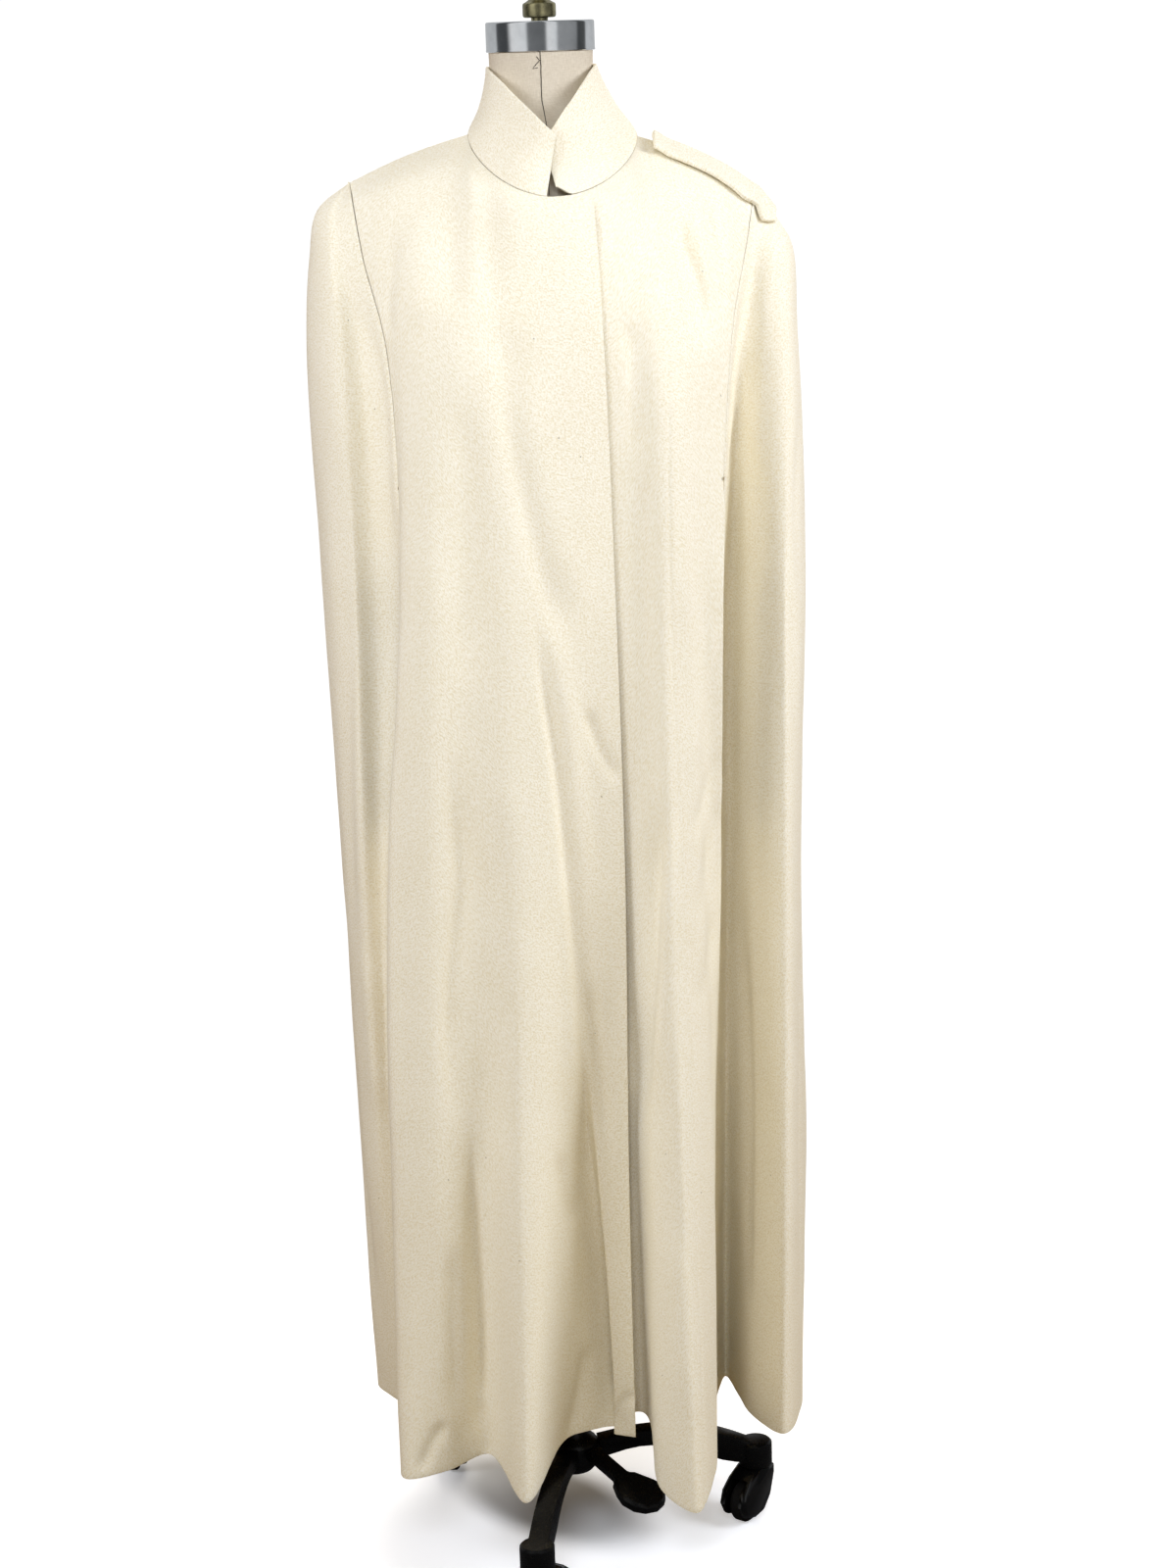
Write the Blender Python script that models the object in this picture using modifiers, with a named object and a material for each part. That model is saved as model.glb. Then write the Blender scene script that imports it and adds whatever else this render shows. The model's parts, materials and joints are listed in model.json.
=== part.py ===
"""A full-length wool cape coat that stands on a limbless dress form with a cast base on casters.

Metres, +Z up, the front of the cape towards -Y. The origin is on the floor, under the middle of
the cape. "Right" and "left" in the names of the cape's pieces are the wearer's, so a right piece
lies at -X.
"""

import itertools
import math
from collections import namedtuple

import bmesh
import bpy
import numpy as np
from mathutils import Matrix, Vector
from mathutils.bvhtree import BVHTree

# ---------------------------------------------------------------- driving dimensions

CLOTH = 0.0020  # wool with its lining
COLLAR_CLOTH = 0.0026
STRAP_CLOTH = 0.0045
SEAM_GAP = 0.0003

# Heights of the cape's level sections.
CHEST, BUST, WAIST, HIP, KNEE, HEM = 1.440, 1.350, 1.120, 0.800, 0.450, 0.128
LEVELS = (CHEST, BUST, WAIST, HIP, KNEE, HEM)
# Rows of faces from the top edge to the shoulder cap, and on from each level to the next.
ROWS = (2, 3, 3, 4, 4, 4, 4)

# The neckline is an oval that drops towards the front.
NECK_X = 0.0115
NECK_HALF_WIDTH = 0.0875
NECK_FRONT, NECK_BACK = 0.100, 0.070
NECK_TOP, NECK_DROP, NECK_DROP_POWER = 1.575, 0.075, 2.1
NECK_TILT = 0.0035
FRONT_EDGE_ANGLE = 27.0  # how far the right front laps past the middle
LAP_DROOP, LAP_FORWARD = 0.012, 0.010
UNDERLAP_TUCK = 0.0085  # how far the left front lies under the right one at the neck

# Where the shoulder seams end, and the arm slits below them.
RIGHT_SHOULDER = (-0.200, 0.000, 1.516)
LEFT_SHOULDER = (0.219, 0.000, 1.4965)
RIGHT_BOW, LEFT_BOW = 0.004, 0.006  # how much each shoulder line rises in its middle
SHOULDER_POINT = 0.0012  # half the width of the side panel at its very top
SLIT_TOP, SLIT_BOTTOM = 1.211, 0.795

# The stand collar.
COLLAR_X, COLLAR_HALF_WIDTH = 0.0020, 0.0570
COLLAR_FRONT, COLLAR_BACK = 0.088, 0.063
COLLAR_TOP, COLLAR_RIGHT_DIP, COLLAR_LEFT_DIP = 1.628, 0.055, 0.074
COLLAR_RIGHT_END, COLLAR_LEFT_END = -5.0, 1.5  # angles of its ends on the neckline
COLLAR_SLANT, COLLAR_OVERLAP = 19.0, 3.0  # how much further round the ends' tops reach
COLLAR_CURL, COLLAR_HOLLOW = 0.009, 0.0045
# Where along the band, from 0 at its right end, the slant ends and the other shapes begin.
COLLAR_SLANT_TO, COLLAR_RISE, COLLAR_OVERLAP_FROM, COLLAR_CURL_FROM = 0.12, (0.85, 0.93), 0.86, 0.966
COLLAR_COLUMNS, COLLAR_ROWS = 44, 4

# The strap on the left shoulder.
STRAP_START, STRAP_END, STRAP_HALF_WIDTH, STRAP_MIDDLE = 0.114, 0.238, 0.021, -0.010
STRAP_CLEARANCE, STRAP_BRIDGE, STRAP_LIFT, STRAP_PATCH = 0.0004, 0.0008, 0.0040, 0.0020
STRAP_COLUMNS, STRAP_ROWS = 20, 8

# The dress form.
NECK_CENTRE = (0.002, 0.000)
NECK_RADIUS = 0.0535
CAP_RADIUS, CAP_BOTTOM, CAP_TOP = 0.0560, 1.6420, 1.6720
FORM_SIDES = 32
# Its shoulders lie a little to the left of its neck, and the left one is the lower.
FORM_SHIFT, FORM_LEAN = 0.0045, 0.0250

# The base. Its two front legs stand on either side of the pedal and the rear one opposite it.
HUB = (-0.013, -0.021)
HUB_RADIUS, HUB_BOTTOM, HUB_TOP = 0.028, 0.080, 0.119
SLEEVE_RADIUS, SLEEVE_BORE, SLEEVE_TOP, SLEEVE_FLOOR = 0.0165, 0.0127, 0.460, 0.092
POLE_RADIUS, POLE_BOTTOM = 0.0122, 0.205
LEG_REACH, LEG_WIDTH, LEG_EDGE = 0.210, 0.022, 0.0025
PEDAL_ANGLE, LEG_SPREAD = 44.0, 55.0
LEG_ANGLES = {
    "front": PEDAL_ANGLE - LEG_SPREAD,
    "left": PEDAL_ANGLE + LEG_SPREAD,
    "rear": PEDAL_ANGLE + 180.0,
}
BOSS_RADIUS, BOSS_BOTTOM, BOSS_TOP = 0.0190, 0.0620, 0.0905
WHEEL_RADIUS, WHEEL_WIDTH, WHEEL_SHOULDER, TRAIL = 0.024, 0.016, 0.003, 0.021
AXLE_RADIUS, WHEEL_FACETS = 0.006, 24
HOOD_WIDTH, HOOD_EDGE, SLOT_WIDTH = 0.035, 0.005, 0.0184
CASTER_TURNS = {"front": 240.0, "left": 53.0, "rear": 270.0}
PEDAL_ARM, PEDAL_PAD, PEDAL_HALF_LENGTH, PEDAL_TILT = 0.048, 0.028, 0.028, 19.0
PEDAL_HEIGHT, PEDAL_THICKNESS, PEDAL_EDGE, ARM_WIDTH = 0.105, 0.013, 0.003, 0.020

# ---------------------------------------------------------------- tables

# A crease is a line that runs down a panel. "top" says where it starts: 0 to 1 along the
# neckline and 1 to 2 along the shoulder seam. Then come its x and y at each level, and how far
# its foot hangs below the hem's level.
Crease = namedtuple("Crease", "name faces top chest bust waist hip knee hem drop", defaults=(0.0,))

FRONT_RIGHT = (
    Crease("front edge", 3, 0.00, (0.054, -0.125), (0.057, -0.139), (0.061, -0.140),
           (0.063, -0.125), (0.058, -0.102), (0.057, -0.086), -0.0150),
    Crease("trough", 3, 0.20, (0.028, -0.129), (0.028, -0.142), (0.030, -0.146),
           (0.030, -0.124), (0.024, -0.100), (0.014, -0.080), -0.0185),
    Crease("step", 4, 0.36, (-0.002, -0.129), (-0.002, -0.144), (0.000, -0.150),
           (-0.002, -0.138), (-0.008, -0.124), (-0.018, -0.090), -0.0180),
    Crease("point", 4, 0.56, (-0.036, -0.125), (-0.040, -0.145), (-0.046, -0.155),
           (-0.052, -0.155), (-0.056, -0.163), (-0.064, -0.178), 0.0145),
    Crease("hollow", 3, 0.80, (-0.078, -0.116), (-0.085, -0.145), (-0.090, -0.148),
           (-0.096, -0.142), (-0.100, -0.128), (-0.106, -0.104), -0.0085),
    Crease("swell", 3, 1.00, (-0.118, -0.103), (-0.122, -0.133), (-0.128, -0.148),
           (-0.142, -0.145), (-0.148, -0.142), (-0.150, -0.122)),
    Crease("side fold", 3, 1.60, (-0.160, -0.083), (-0.148, -0.115), (-0.157, -0.128),
           (-0.182, -0.122), (-0.195, -0.122), (-0.197, -0.131), 0.0040),
    Crease("seam", 0, 2.00, (-0.186, -0.062), (-0.165, -0.093), (-0.158, -0.106),
           (-0.176, -0.088), (-0.184, -0.020), (-0.188, 0.030)),
)

FRONT_LEFT = (
    Crease("seam", 3, 2.00, (0.207, -0.048), (0.188, -0.088), (0.174, -0.112),
           (0.166, -0.078), (0.156, -0.010), (0.150, 0.030)),
    Crease("return", 3, 1.60, (0.180, -0.075), (0.170, -0.108), (0.154, -0.124),
           (0.153, -0.095), (0.152, -0.066), (0.147, -0.062), -0.0105),
    Crease("soft fold", 3, 1.20, (0.145, -0.096), (0.142, -0.128), (0.131, -0.143),
           (0.140, -0.128), (0.147, -0.120), (0.142, -0.142), 0.0040),
    Crease("nose", 3, 1.00, (0.118, -0.108), (0.112, -0.138), (0.110, -0.148),
           (0.112, -0.150), (0.116, -0.170), (0.121, -0.196), 0.0235),
    Crease("brow", 4, 0.68, (0.086, -0.116), (0.086, -0.137), (0.088, -0.138),
           (0.088, -0.136), (0.086, -0.146), (0.083, -0.160), 0.0125),
    Crease("gap", 3, 0.36, (0.0580, -0.1195), (0.0605, -0.1330), (0.0660, -0.1340),
           (0.067, -0.119), (0.068, -0.092), (0.067, -0.062), -0.0330),
    Crease("hidden edge", 0, 0.00, (0.006, -0.112), (0.006, -0.124), (0.010, -0.122),
           (0.012, -0.100), (0.012, -0.070), (0.016, -0.050), -0.0260),
)

BACK = (
    Crease("right seam", 3, -2.0, (-0.190, 0.066), (-0.175, 0.104), (-0.185, 0.120),
           (-0.190, 0.140), (-0.195, 0.165), (-0.200, 0.190)),
    Crease("right ridge", 3, -1.5, (-0.152, 0.092), (-0.140, 0.124), (-0.150, 0.150),
           (-0.155, 0.180), (-0.158, 0.210), (-0.160, 0.236)),
    Crease("right hollow", 3, -1.0, (-0.102, 0.110), (-0.100, 0.135), (-0.105, 0.146),
           (-0.110, 0.160), (-0.112, 0.180), (-0.115, 0.202)),
    Crease("mid right ridge", 3, -0.5, (-0.050, 0.118), (-0.050, 0.141), (-0.055, 0.162),
           (-0.060, 0.194), (-0.060, 0.226), (-0.060, 0.254)),
    Crease("middle hollow", 3, 0.0, (0.005, 0.120), (0.004, 0.142), (0.000, 0.152),
           (-0.004, 0.170), (-0.008, 0.190), (-0.010, 0.211)),
    Crease("mid left ridge", 3, 0.5, (0.060, 0.118), (0.058, 0.140), (0.052, 0.163),
           (0.047, 0.198), (0.045, 0.230), (0.045, 0.258)),
    Crease("left hollow", 3, 1.0, (0.112, 0.109), (0.108, 0.133), (0.102, 0.147),
           (0.097, 0.164), (0.095, 0.184), (0.095, 0.206)),
    Crease("left ridge", 3, 1.5, (0.164, 0.088), (0.154, 0.120), (0.155, 0.148),
           (0.157, 0.184), (0.162, 0.216), (0.152, 0.240)),
    Crease("left seam", 0, 2.0, (0.204, 0.062), (0.190, 0.100), (0.195, 0.120),
           (0.206, 0.140), (0.238, 0.160), (0.215, 0.186)),
)

# A side panel's creases fan out from the shoulder point, so each also has its place at the
# height of the shoulder cap, as x, y and z.
SideCrease = namedtuple(
    "SideCrease", "name faces fan cap chest bust waist hip knee hem drop", defaults=(0.0,)
)

SIDE_RIGHT = (
    SideCrease("front", 3, 0.25, (-0.220, -0.021, 1.490), (-0.222, -0.048),
               (-0.214, -0.076), (-0.212, -0.080), (-0.216, -0.058), (-0.220, 0.000),
               (-0.222, 0.076)),
    SideCrease("outer", 3, 0.50, (-0.235, 0.000, 1.488), (-0.245, 0.000),
               (-0.2515, -0.010), (-0.249, -0.012), (-0.2445, 0.006), (-0.243, 0.050),
               (-0.241, 0.112)),
    SideCrease("back", 3, 0.75, (-0.220, 0.022, 1.490), (-0.226, 0.046),
               (-0.222, 0.068), (-0.226, 0.074), (-0.230, 0.092), (-0.230, 0.122),
               (-0.228, 0.162)),
)

SIDE_LEFT = (
    SideCrease("back", 3, 0.22, (0.229, 0.020, 1.464), (0.238, 0.042),
               (0.237, 0.066), (0.243, 0.074), (0.246, 0.090), (0.262, 0.112),
               (0.246, 0.132)),
    SideCrease("outer", 3, 0.48, (0.243, 0.000, 1.464), (0.256, 0.004),
               (0.2605, 0.004), (0.2655, 0.004), (0.258, 0.012), (0.255, 0.022),
               (0.249, 0.020)),
    SideCrease("fold", 3, 0.64, (0.238, -0.012, 1.463), (0.250, -0.024),
               (0.250, -0.040), (0.248, -0.052), (0.240, -0.054), (0.236, -0.054),
               (0.226, -0.046)),
    SideCrease("fold inside", 3, 0.80, (0.229, -0.018, 1.460), (0.236, -0.036),
               (0.230, -0.064), (0.222, -0.074), (0.212, -0.060), (0.206, -0.040),
               (0.192, -0.022)),
    SideCrease("valley", 3, 0.90, (0.222, -0.021, 1.462), (0.222, -0.043),
               (0.210, -0.079), (0.198, -0.080), (0.184, -0.048), (0.176, 0.026),
               (0.168, 0.098)),
)

# A panel made of two gores: their names, clockwise, and the column of faces after which their
# seam runs.
Gores = namedtuple("Gores", "first second seam")
GORES = {
    "front_left": Gores("front_left_side", "front_left", 8),
    "side_left": Gores("side_left", "side_left_front", 9),
}

# How far the two layers of an arm slit part, in x and y, at the slit's widest.
Slit = namedtuple("Slit", "front_edge side_edge")
RIGHT_SLIT = Slit(front_edge=(-0.004, -0.002), side_edge=(0.012, 0.020))
LEFT_SLIT = Slit(front_edge=(0.000, -0.004), side_edge=(-0.012, 0.020))

# The form's torso as ovals from its neck to its foot.
Oval = namedtuple("Oval", "z half_width front back power")
TORSO = (
    Oval(CAP_BOTTOM - SEAM_GAP, NECK_RADIUS, NECK_RADIUS, NECK_RADIUS, 2.0),
    Oval(1.6000, 0.0530, 0.0540, 0.0550, 2.0),
    Oval(1.5800, 0.0560, 0.0550, 0.0560, 2.0),
    Oval(1.5680, 0.0610, 0.0560, 0.0560, 2.0),
    Oval(1.5590, 0.0655, 0.0520, 0.0460, 1.7),
    Oval(1.5492, 0.1020, 0.0390, 0.0290, 1.25),
    Oval(1.5280, 0.1300, 0.0580, 0.0520, 1.4),
    Oval(1.5060, 0.1560, 0.0680, 0.0650, 1.6),
    Oval(1.4850, 0.1740, 0.0800, 0.0780, 1.8),
    Oval(1.4500, 0.1810, 0.0930, 0.0880, 2.0),
    Oval(1.4000, 0.1730, 0.1080, 0.0960, 2.1),
    Oval(1.3500, 0.1560, 0.1140, 0.0980, 2.1),
    Oval(1.2600, 0.1400, 0.1040, 0.0920, 2.1),
    Oval(1.1500, 0.1220, 0.0900, 0.0850, 2.1),
    Oval(1.1000, 0.1200, 0.0880, 0.0870, 2.1),
    Oval(1.0000, 0.1400, 0.0950, 0.1020, 2.1),
    Oval(0.9200, 0.1520, 0.0980, 0.1120, 2.1),
    Oval(0.8600, 0.1480, 0.0950, 0.1080, 2.1),
)


# A leg from the side, as its reach and height along its top edge and back along its lower one.
LEG_TOP = ((HUB_RADIUS + SEAM_GAP, 0.1130), (0.075, 0.1190), (0.125, 0.1170), (0.170, 0.1060),
           (LEG_REACH, 0.0880))
LEG_LOW = ((LEG_REACH, 0.0650), (0.170, 0.0740), (0.125, 0.0940), (0.075, 0.1010),
           (HUB_RADIUS + SEAM_GAP, 0.0920))

# A caster's hood from the side, as its distance ahead of the swivel axis and its height.
HOOD = (
    (0.0150, BOSS_BOTTOM - SEAM_GAP), (0.0150, 0.0500), (0.0110, 0.0380), (0.0060, 0.0240),
    (-0.0050, 0.0120), (-0.0280, 0.0080), (-0.0440, 0.0140), (-0.0510, 0.0280),
    (-0.0460, 0.0430), (-0.0320, 0.0540), (-0.0150, BOSS_BOTTOM - SEAM_GAP),
)


# ---------------------------------------------------------------- materials


def material(name, colour, roughness, metallic=0.0):
    made = bpy.data.materials.new(name)
    made.use_nodes = True
    shader = made.node_tree.nodes["Principled BSDF"]
    shader.inputs["Base Color"].default_value = (*colour, 1.0)
    shader.inputs["Roughness"].default_value = roughness
    shader.inputs["Metallic"].default_value = metallic
    made.diffuse_color = (*colour, 1.0)
    return made


# ---------------------------------------------------------------- small mathematics


def smoothstep(low, high, value):
    t = min(1.0, max(0.0, (value - low) / (high - low)))
    return t * t * (3.0 - 2.0 * t)


def unit(vectors):
    return vectors / np.linalg.norm(vectors, axis=-1, keepdims=True)


def through(knots, steps):
    """Points on a centripetal Catmull-Rom curve through the knots, with steps[i] of them in gap i."""
    knots = np.asarray(knots, float)
    ends = [2 * knots[0] - knots[1], *knots, 2 * knots[-1] - knots[-2]]
    points = []
    for gap, count in enumerate(steps):
        a, b, c, d = ends[gap : gap + 4]
        lengths = [max(1e-6, np.linalg.norm(q - p)) ** 0.5 for p, q in ((a, b), (b, c), (c, d))]
        t0, t1 = 0.0, lengths[0]
        t2 = t1 + lengths[1]
        t3 = t2 + lengths[2]
        for step in range(count):
            t = t1 + (t2 - t1) * step / count
            ab = (a * (t1 - t) + b * (t - t0)) / (t1 - t0)
            bc = (b * (t2 - t) + c * (t - t1)) / (t2 - t1)
            cd = (c * (t3 - t) + d * (t - t2)) / (t3 - t2)
            abc = (ab * (t2 - t) + bc * (t - t0)) / (t2 - t0)
            bcd = (bc * (t3 - t) + cd * (t - t1)) / (t3 - t1)
            points.append((abc * (t2 - t) + bcd * (t - t1)) / (t2 - t1))
    points.append(knots[-1])
    return np.array(points)


# ---------------------------------------------------------------- the neckline and shoulders


def neckline(angle, tuck=0.0):
    """A point on the neckline. angle is in degrees from the middle front, positive to the left."""
    a = math.radians(angle)
    depth = NECK_FRONT - tuck if math.cos(a) > 0 else NECK_BACK
    drop = NECK_DROP * ((1.0 + math.cos(a)) / 2.0) ** NECK_DROP_POWER
    return np.array(
        (
            NECK_X + NECK_HALF_WIDTH * math.sin(a),
            -depth * math.cos(a),
            NECK_TOP - drop - NECK_TILT * math.sin(a),
        )
    )


def neck_normal(angle):
    """Which way the cloth faces at the neckline, for the collar and the panels alike."""
    a = math.radians(angle)
    return unit(np.array((math.sin(a), -math.cos(a), 0.75)))


def shoulder(fraction, side, half=0.0):
    """A point on the shoulder seam, from the neck at 0 to the shoulder point at 1. half is -1 for
    the front panel and 1 for the back one, whose edges part a little for the side panel's tip."""
    start = neckline(90.0 * side)
    end = np.array(RIGHT_SHOULDER if side < 0 else LEFT_SHOULDER)
    end[1] += half * SHOULDER_POINT
    bow = (RIGHT_BOW if side < 0 else LEFT_BOW) * math.sin(math.pi * fraction)
    return start + (end - start) * fraction + np.array((0.0, 0.0, bow))


def shoulder_normal(side):
    along = shoulder(1.0, side) - shoulder(0.0, side)
    return unit(np.cross(along, (0.0, side, 0.0)))


def tuck_at(angle):
    """How far the left front lies inside the neckline, where the right front laps over it."""
    return UNDERLAP_TUCK * smoothstep(48.0, 26.0, angle)


def right_front_top(t):
    if t > 1.0:
        return shoulder(t - 1.0, -1, -1), None
    angle = FRONT_EDGE_ANGLE + (-90.0 - FRONT_EDGE_ANGLE) * t
    point = neckline(angle)
    lap = smoothstep(-2.0, FRONT_EDGE_ANGLE, angle)
    point -= np.array((0.0, LAP_FORWARD, LAP_DROOP)) * lap
    return point, angle


def left_front_top(t):
    if t > 1.0:
        return shoulder(t - 1.0, 1, -1), None
    angle = 90.0 * t
    return neckline(angle, tuck_at(angle)), angle


def back_top(t):
    side = -1 if t < 0 else 1
    if abs(t) > 1.0:
        return shoulder(abs(t) - 1.0, side, 1), None
    angle = side * (180.0 - 90.0 * abs(t))
    return neckline(angle), angle


# ---------------------------------------------------------------- the cape's panels


def shoulder_cap(top, chest):
    """The knot between the top edge and the chest that rounds the cloth over the shoulder."""
    return chest + (top - chest) * np.array((0.70, 0.50, 0.72))


def levels_of(crease):
    """The crease's points at the level sections."""
    spots = (crease.chest, crease.bust, crease.waist, crease.hip, crease.knee, crease.hem)
    heights = (*LEVELS[:-1], HEM - crease.drop)
    return [np.array((x, y, z)) for (x, y), z in zip(spots, heights)]


def slit_opening(z):
    """0 where the panels are sewn together, 1 where the arm slit is open."""
    return smoothstep(SLIT_TOP, SLIT_TOP - 0.05, z) * smoothstep(SLIT_BOTTOM, SLIT_BOTTOM + 0.07, z)


def parted(line, offset):
    """The line moved by the offset along the open length of the arm slit."""
    moved = line.copy()
    for point in moved:
        point[:2] += slit_opening(point[2]) * np.array(offset)
    return moved


def across(lines, faces):
    """The grid of points that a row of lines down the panel gives, row by row."""
    return np.array([through(row, faces) for row in np.transpose(lines, (1, 0, 2))])


def hung_lines(creases, top_of):
    lines = []
    for crease in creases:
        levels = levels_of(crease)
        top = top_of(crease.top)[0]
        lines.append(through([top, shoulder_cap(top, levels[0]), *levels], ROWS))
    return lines


def hung_grid(creases, top_of, lines):
    """A front or back panel's points. Its top row follows the neckline and the shoulder exactly."""
    faces = [crease.faces for crease in creases[:-1]]
    grid = across(lines, faces)
    places = np.concatenate(
        [
            np.linspace(a.top, b.top, a.faces, endpoint=False)
            for a, b in zip(creases, creases[1:])
        ]
        + [[creases[-1].top]]
    )
    tops = [top_of(place) for place in places]
    grid[0] = [point for point, _ in tops]
    return grid, [angle for _, angle in tops]


def side_grid(creases, first_line, last_line, shoulder_end, turn):
    """A side panel's points, between the seam lines on either side of it."""
    lines = [first_line]
    for crease in creases:
        top = np.array(shoulder_end)
        top[1] += turn * SHOULDER_POINT * (2.0 * crease.fan - 1.0)
        lines.append(through([top, np.array(crease.cap), *levels_of(crease)], ROWS))
    lines.append(last_line)
    for line, sign in ((lines[0], -1.0), (lines[-1], 1.0)):
        line[0] = np.array(shoulder_end) + np.array((0.0, turn * sign * SHOULDER_POINT, 0.0))
    return across(lines, [3] + [crease.faces for crease in creases])


def facing(grid):
    """The outward unit normals of a grid whose columns run clockwise round the cape."""
    down = np.gradient(grid, axis=0)
    along = np.gradient(grid, axis=1)
    return unit(np.cross(along, down))


def share_normals(first, second, normals_a, normals_b):
    """Where two panels meet, both take the same normal, so that their cut edges stay parallel."""
    together = np.linalg.norm(first[:, -1] - second[:, 0], axis=1) < 0.5 * CLOTH
    shared = unit(normals_a[:, -1] + normals_b[:, 0])
    normals_a[together, -1] = shared[together]
    normals_b[together, 0] = shared[together]


def set_top_normals(normals, angles, side_of):
    for column, angle in enumerate(angles):
        if angle is None:
            normals[0, column] = shoulder_normal(side_of(column))
        else:
            normals[0, column] = neck_normal(angle)


def drawn_in(grid, normals, thickness, sides, draw=0.5 * SEAM_GAP):
    """The outer and inner points of a wall, drawn in at the seams on the sides named."""
    outer = grid.copy()
    inner = grid - thickness * normals
    edges = {
        "left": (np.s_[:, 0], np.s_[:, 1]),
        "right": (np.s_[:, -1], np.s_[:, -2]),
        "top": (np.s_[0, :], np.s_[1, :]),
        "bottom": (np.s_[-1, :], np.s_[-2, :]),
    }
    moves = []
    for side in sides:
        edge, inside = edges[side]
        moves.append((edge, draw * unit(grid[inside] - grid[edge])))
    for edge, move in moves:
        outer[edge] += move
        inner[edge] += move
    return outer, inner


def wall_mesh(name, outer, inner):
    """A closed wall between two grids of points of the same size."""
    rows, columns = outer.shape[:2]
    mesh = bmesh.new()
    faces = [
        [[mesh.verts.new(point) for point in row] for row in grid] for grid in (outer, inner)
    ]
    out, back = faces
    for r in range(rows - 1):
        for c in range(columns - 1):
            mesh.faces.new((out[r][c], out[r + 1][c], out[r + 1][c + 1], out[r][c + 1]))
            mesh.faces.new((back[r][c], back[r][c + 1], back[r + 1][c + 1], back[r + 1][c]))
    for c in range(columns - 1):
        mesh.faces.new((out[0][c + 1], back[0][c + 1], back[0][c], out[0][c]))
        mesh.faces.new((out[-1][c], back[-1][c], back[-1][c + 1], out[-1][c + 1]))
    for r in range(rows - 1):
        mesh.faces.new((out[r][0], back[r][0], back[r + 1][0], out[r + 1][0]))
        mesh.faces.new((back[r + 1][-1], back[r][-1], out[r][-1], out[r + 1][-1]))
    bmesh.ops.recalc_face_normals(mesh, faces=mesh.faces)
    made = bpy.data.meshes.new(name)
    mesh.to_mesh(made)
    mesh.free()
    made.shade_smooth()
    made.set_sharp_from_angle(angle=math.radians(60.0))
    return made


def put(name, mesh, finish, collection, at=(0.0, 0.0, 0.0), parent=None):
    made = bpy.data.objects.new(name, mesh)
    mesh.materials.append(finish)
    made.location = at
    made.parent = parent
    collection.objects.link(made)
    return made


def cape_panels():
    """The five panels as (name, grid, normals, angles of the top row), clockwise from the front."""
    right_lines = hung_lines(FRONT_RIGHT, right_front_top)
    left_lines = hung_lines(FRONT_LEFT, left_front_top)
    back_lines = hung_lines(BACK, back_top)
    right_side = side_grid(
        SIDE_RIGHT,
        parted(right_lines[-1], RIGHT_SLIT.side_edge),
        back_lines[0].copy(),
        RIGHT_SHOULDER,
        1.0,
    )
    left_side = side_grid(
        SIDE_LEFT,
        back_lines[-1].copy(),
        parted(left_lines[0], LEFT_SLIT.side_edge),
        LEFT_SHOULDER,
        -1.0,
    )
    right_lines[-1] = parted(right_lines[-1], RIGHT_SLIT.front_edge)
    left_lines[0] = parted(left_lines[0], LEFT_SLIT.front_edge)
    right, right_angles = hung_grid(FRONT_RIGHT, right_front_top, right_lines)
    back, back_angles = hung_grid(BACK, back_top, back_lines)
    left, left_angles = hung_grid(FRONT_LEFT, left_front_top, left_lines)
    panels = [
        ["front_right", right, facing(right), right_angles, lambda column: -1],
        ["side_right", right_side, facing(right_side), None, None],
        ["back", back, facing(back), back_angles, lambda column: -1 if column < 12 else 1],
        ["side_left", left_side, facing(left_side), None, None],
        ["front_left", left, facing(left), left_angles, lambda column: 1],
    ]
    for _, _, normals, angles, side_of in panels:
        if angles is not None:
            set_top_normals(normals, angles, side_of)
    panels[1][2][0] = shoulder_normal(-1)
    panels[3][2][0] = shoulder_normal(1)
    for (_, a, normals_a, _, _), (_, b, normals_b, _, _) in zip(panels, panels[1:]):
        share_normals(a, b, normals_a, normals_b)
    return panels


def gores_of(name, grid, normals):
    """A panel as it is sewn: whole, or as two gores with a seam between them."""
    if name not in GORES:
        return [(name, grid, normals)]
    first, second, seam = GORES[name]
    return [
        (first, grid[:, : seam + 1], normals[:, : seam + 1]),
        (second, grid[:, seam:], normals[:, seam:]),
    ]


def build_cape(collection, wool):
    built = {}
    for panel, whole, facings, _, _ in cape_panels():
        for name, grid, normals in gores_of(panel, whole, facings):
            outer, inner = drawn_in(grid, normals, CLOTH, ["left", "right", "top"])
            built[name] = put(name, wall_mesh(name, outer, inner), wool, collection)
    return built


# ---------------------------------------------------------------- collar and shoulder strap


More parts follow.
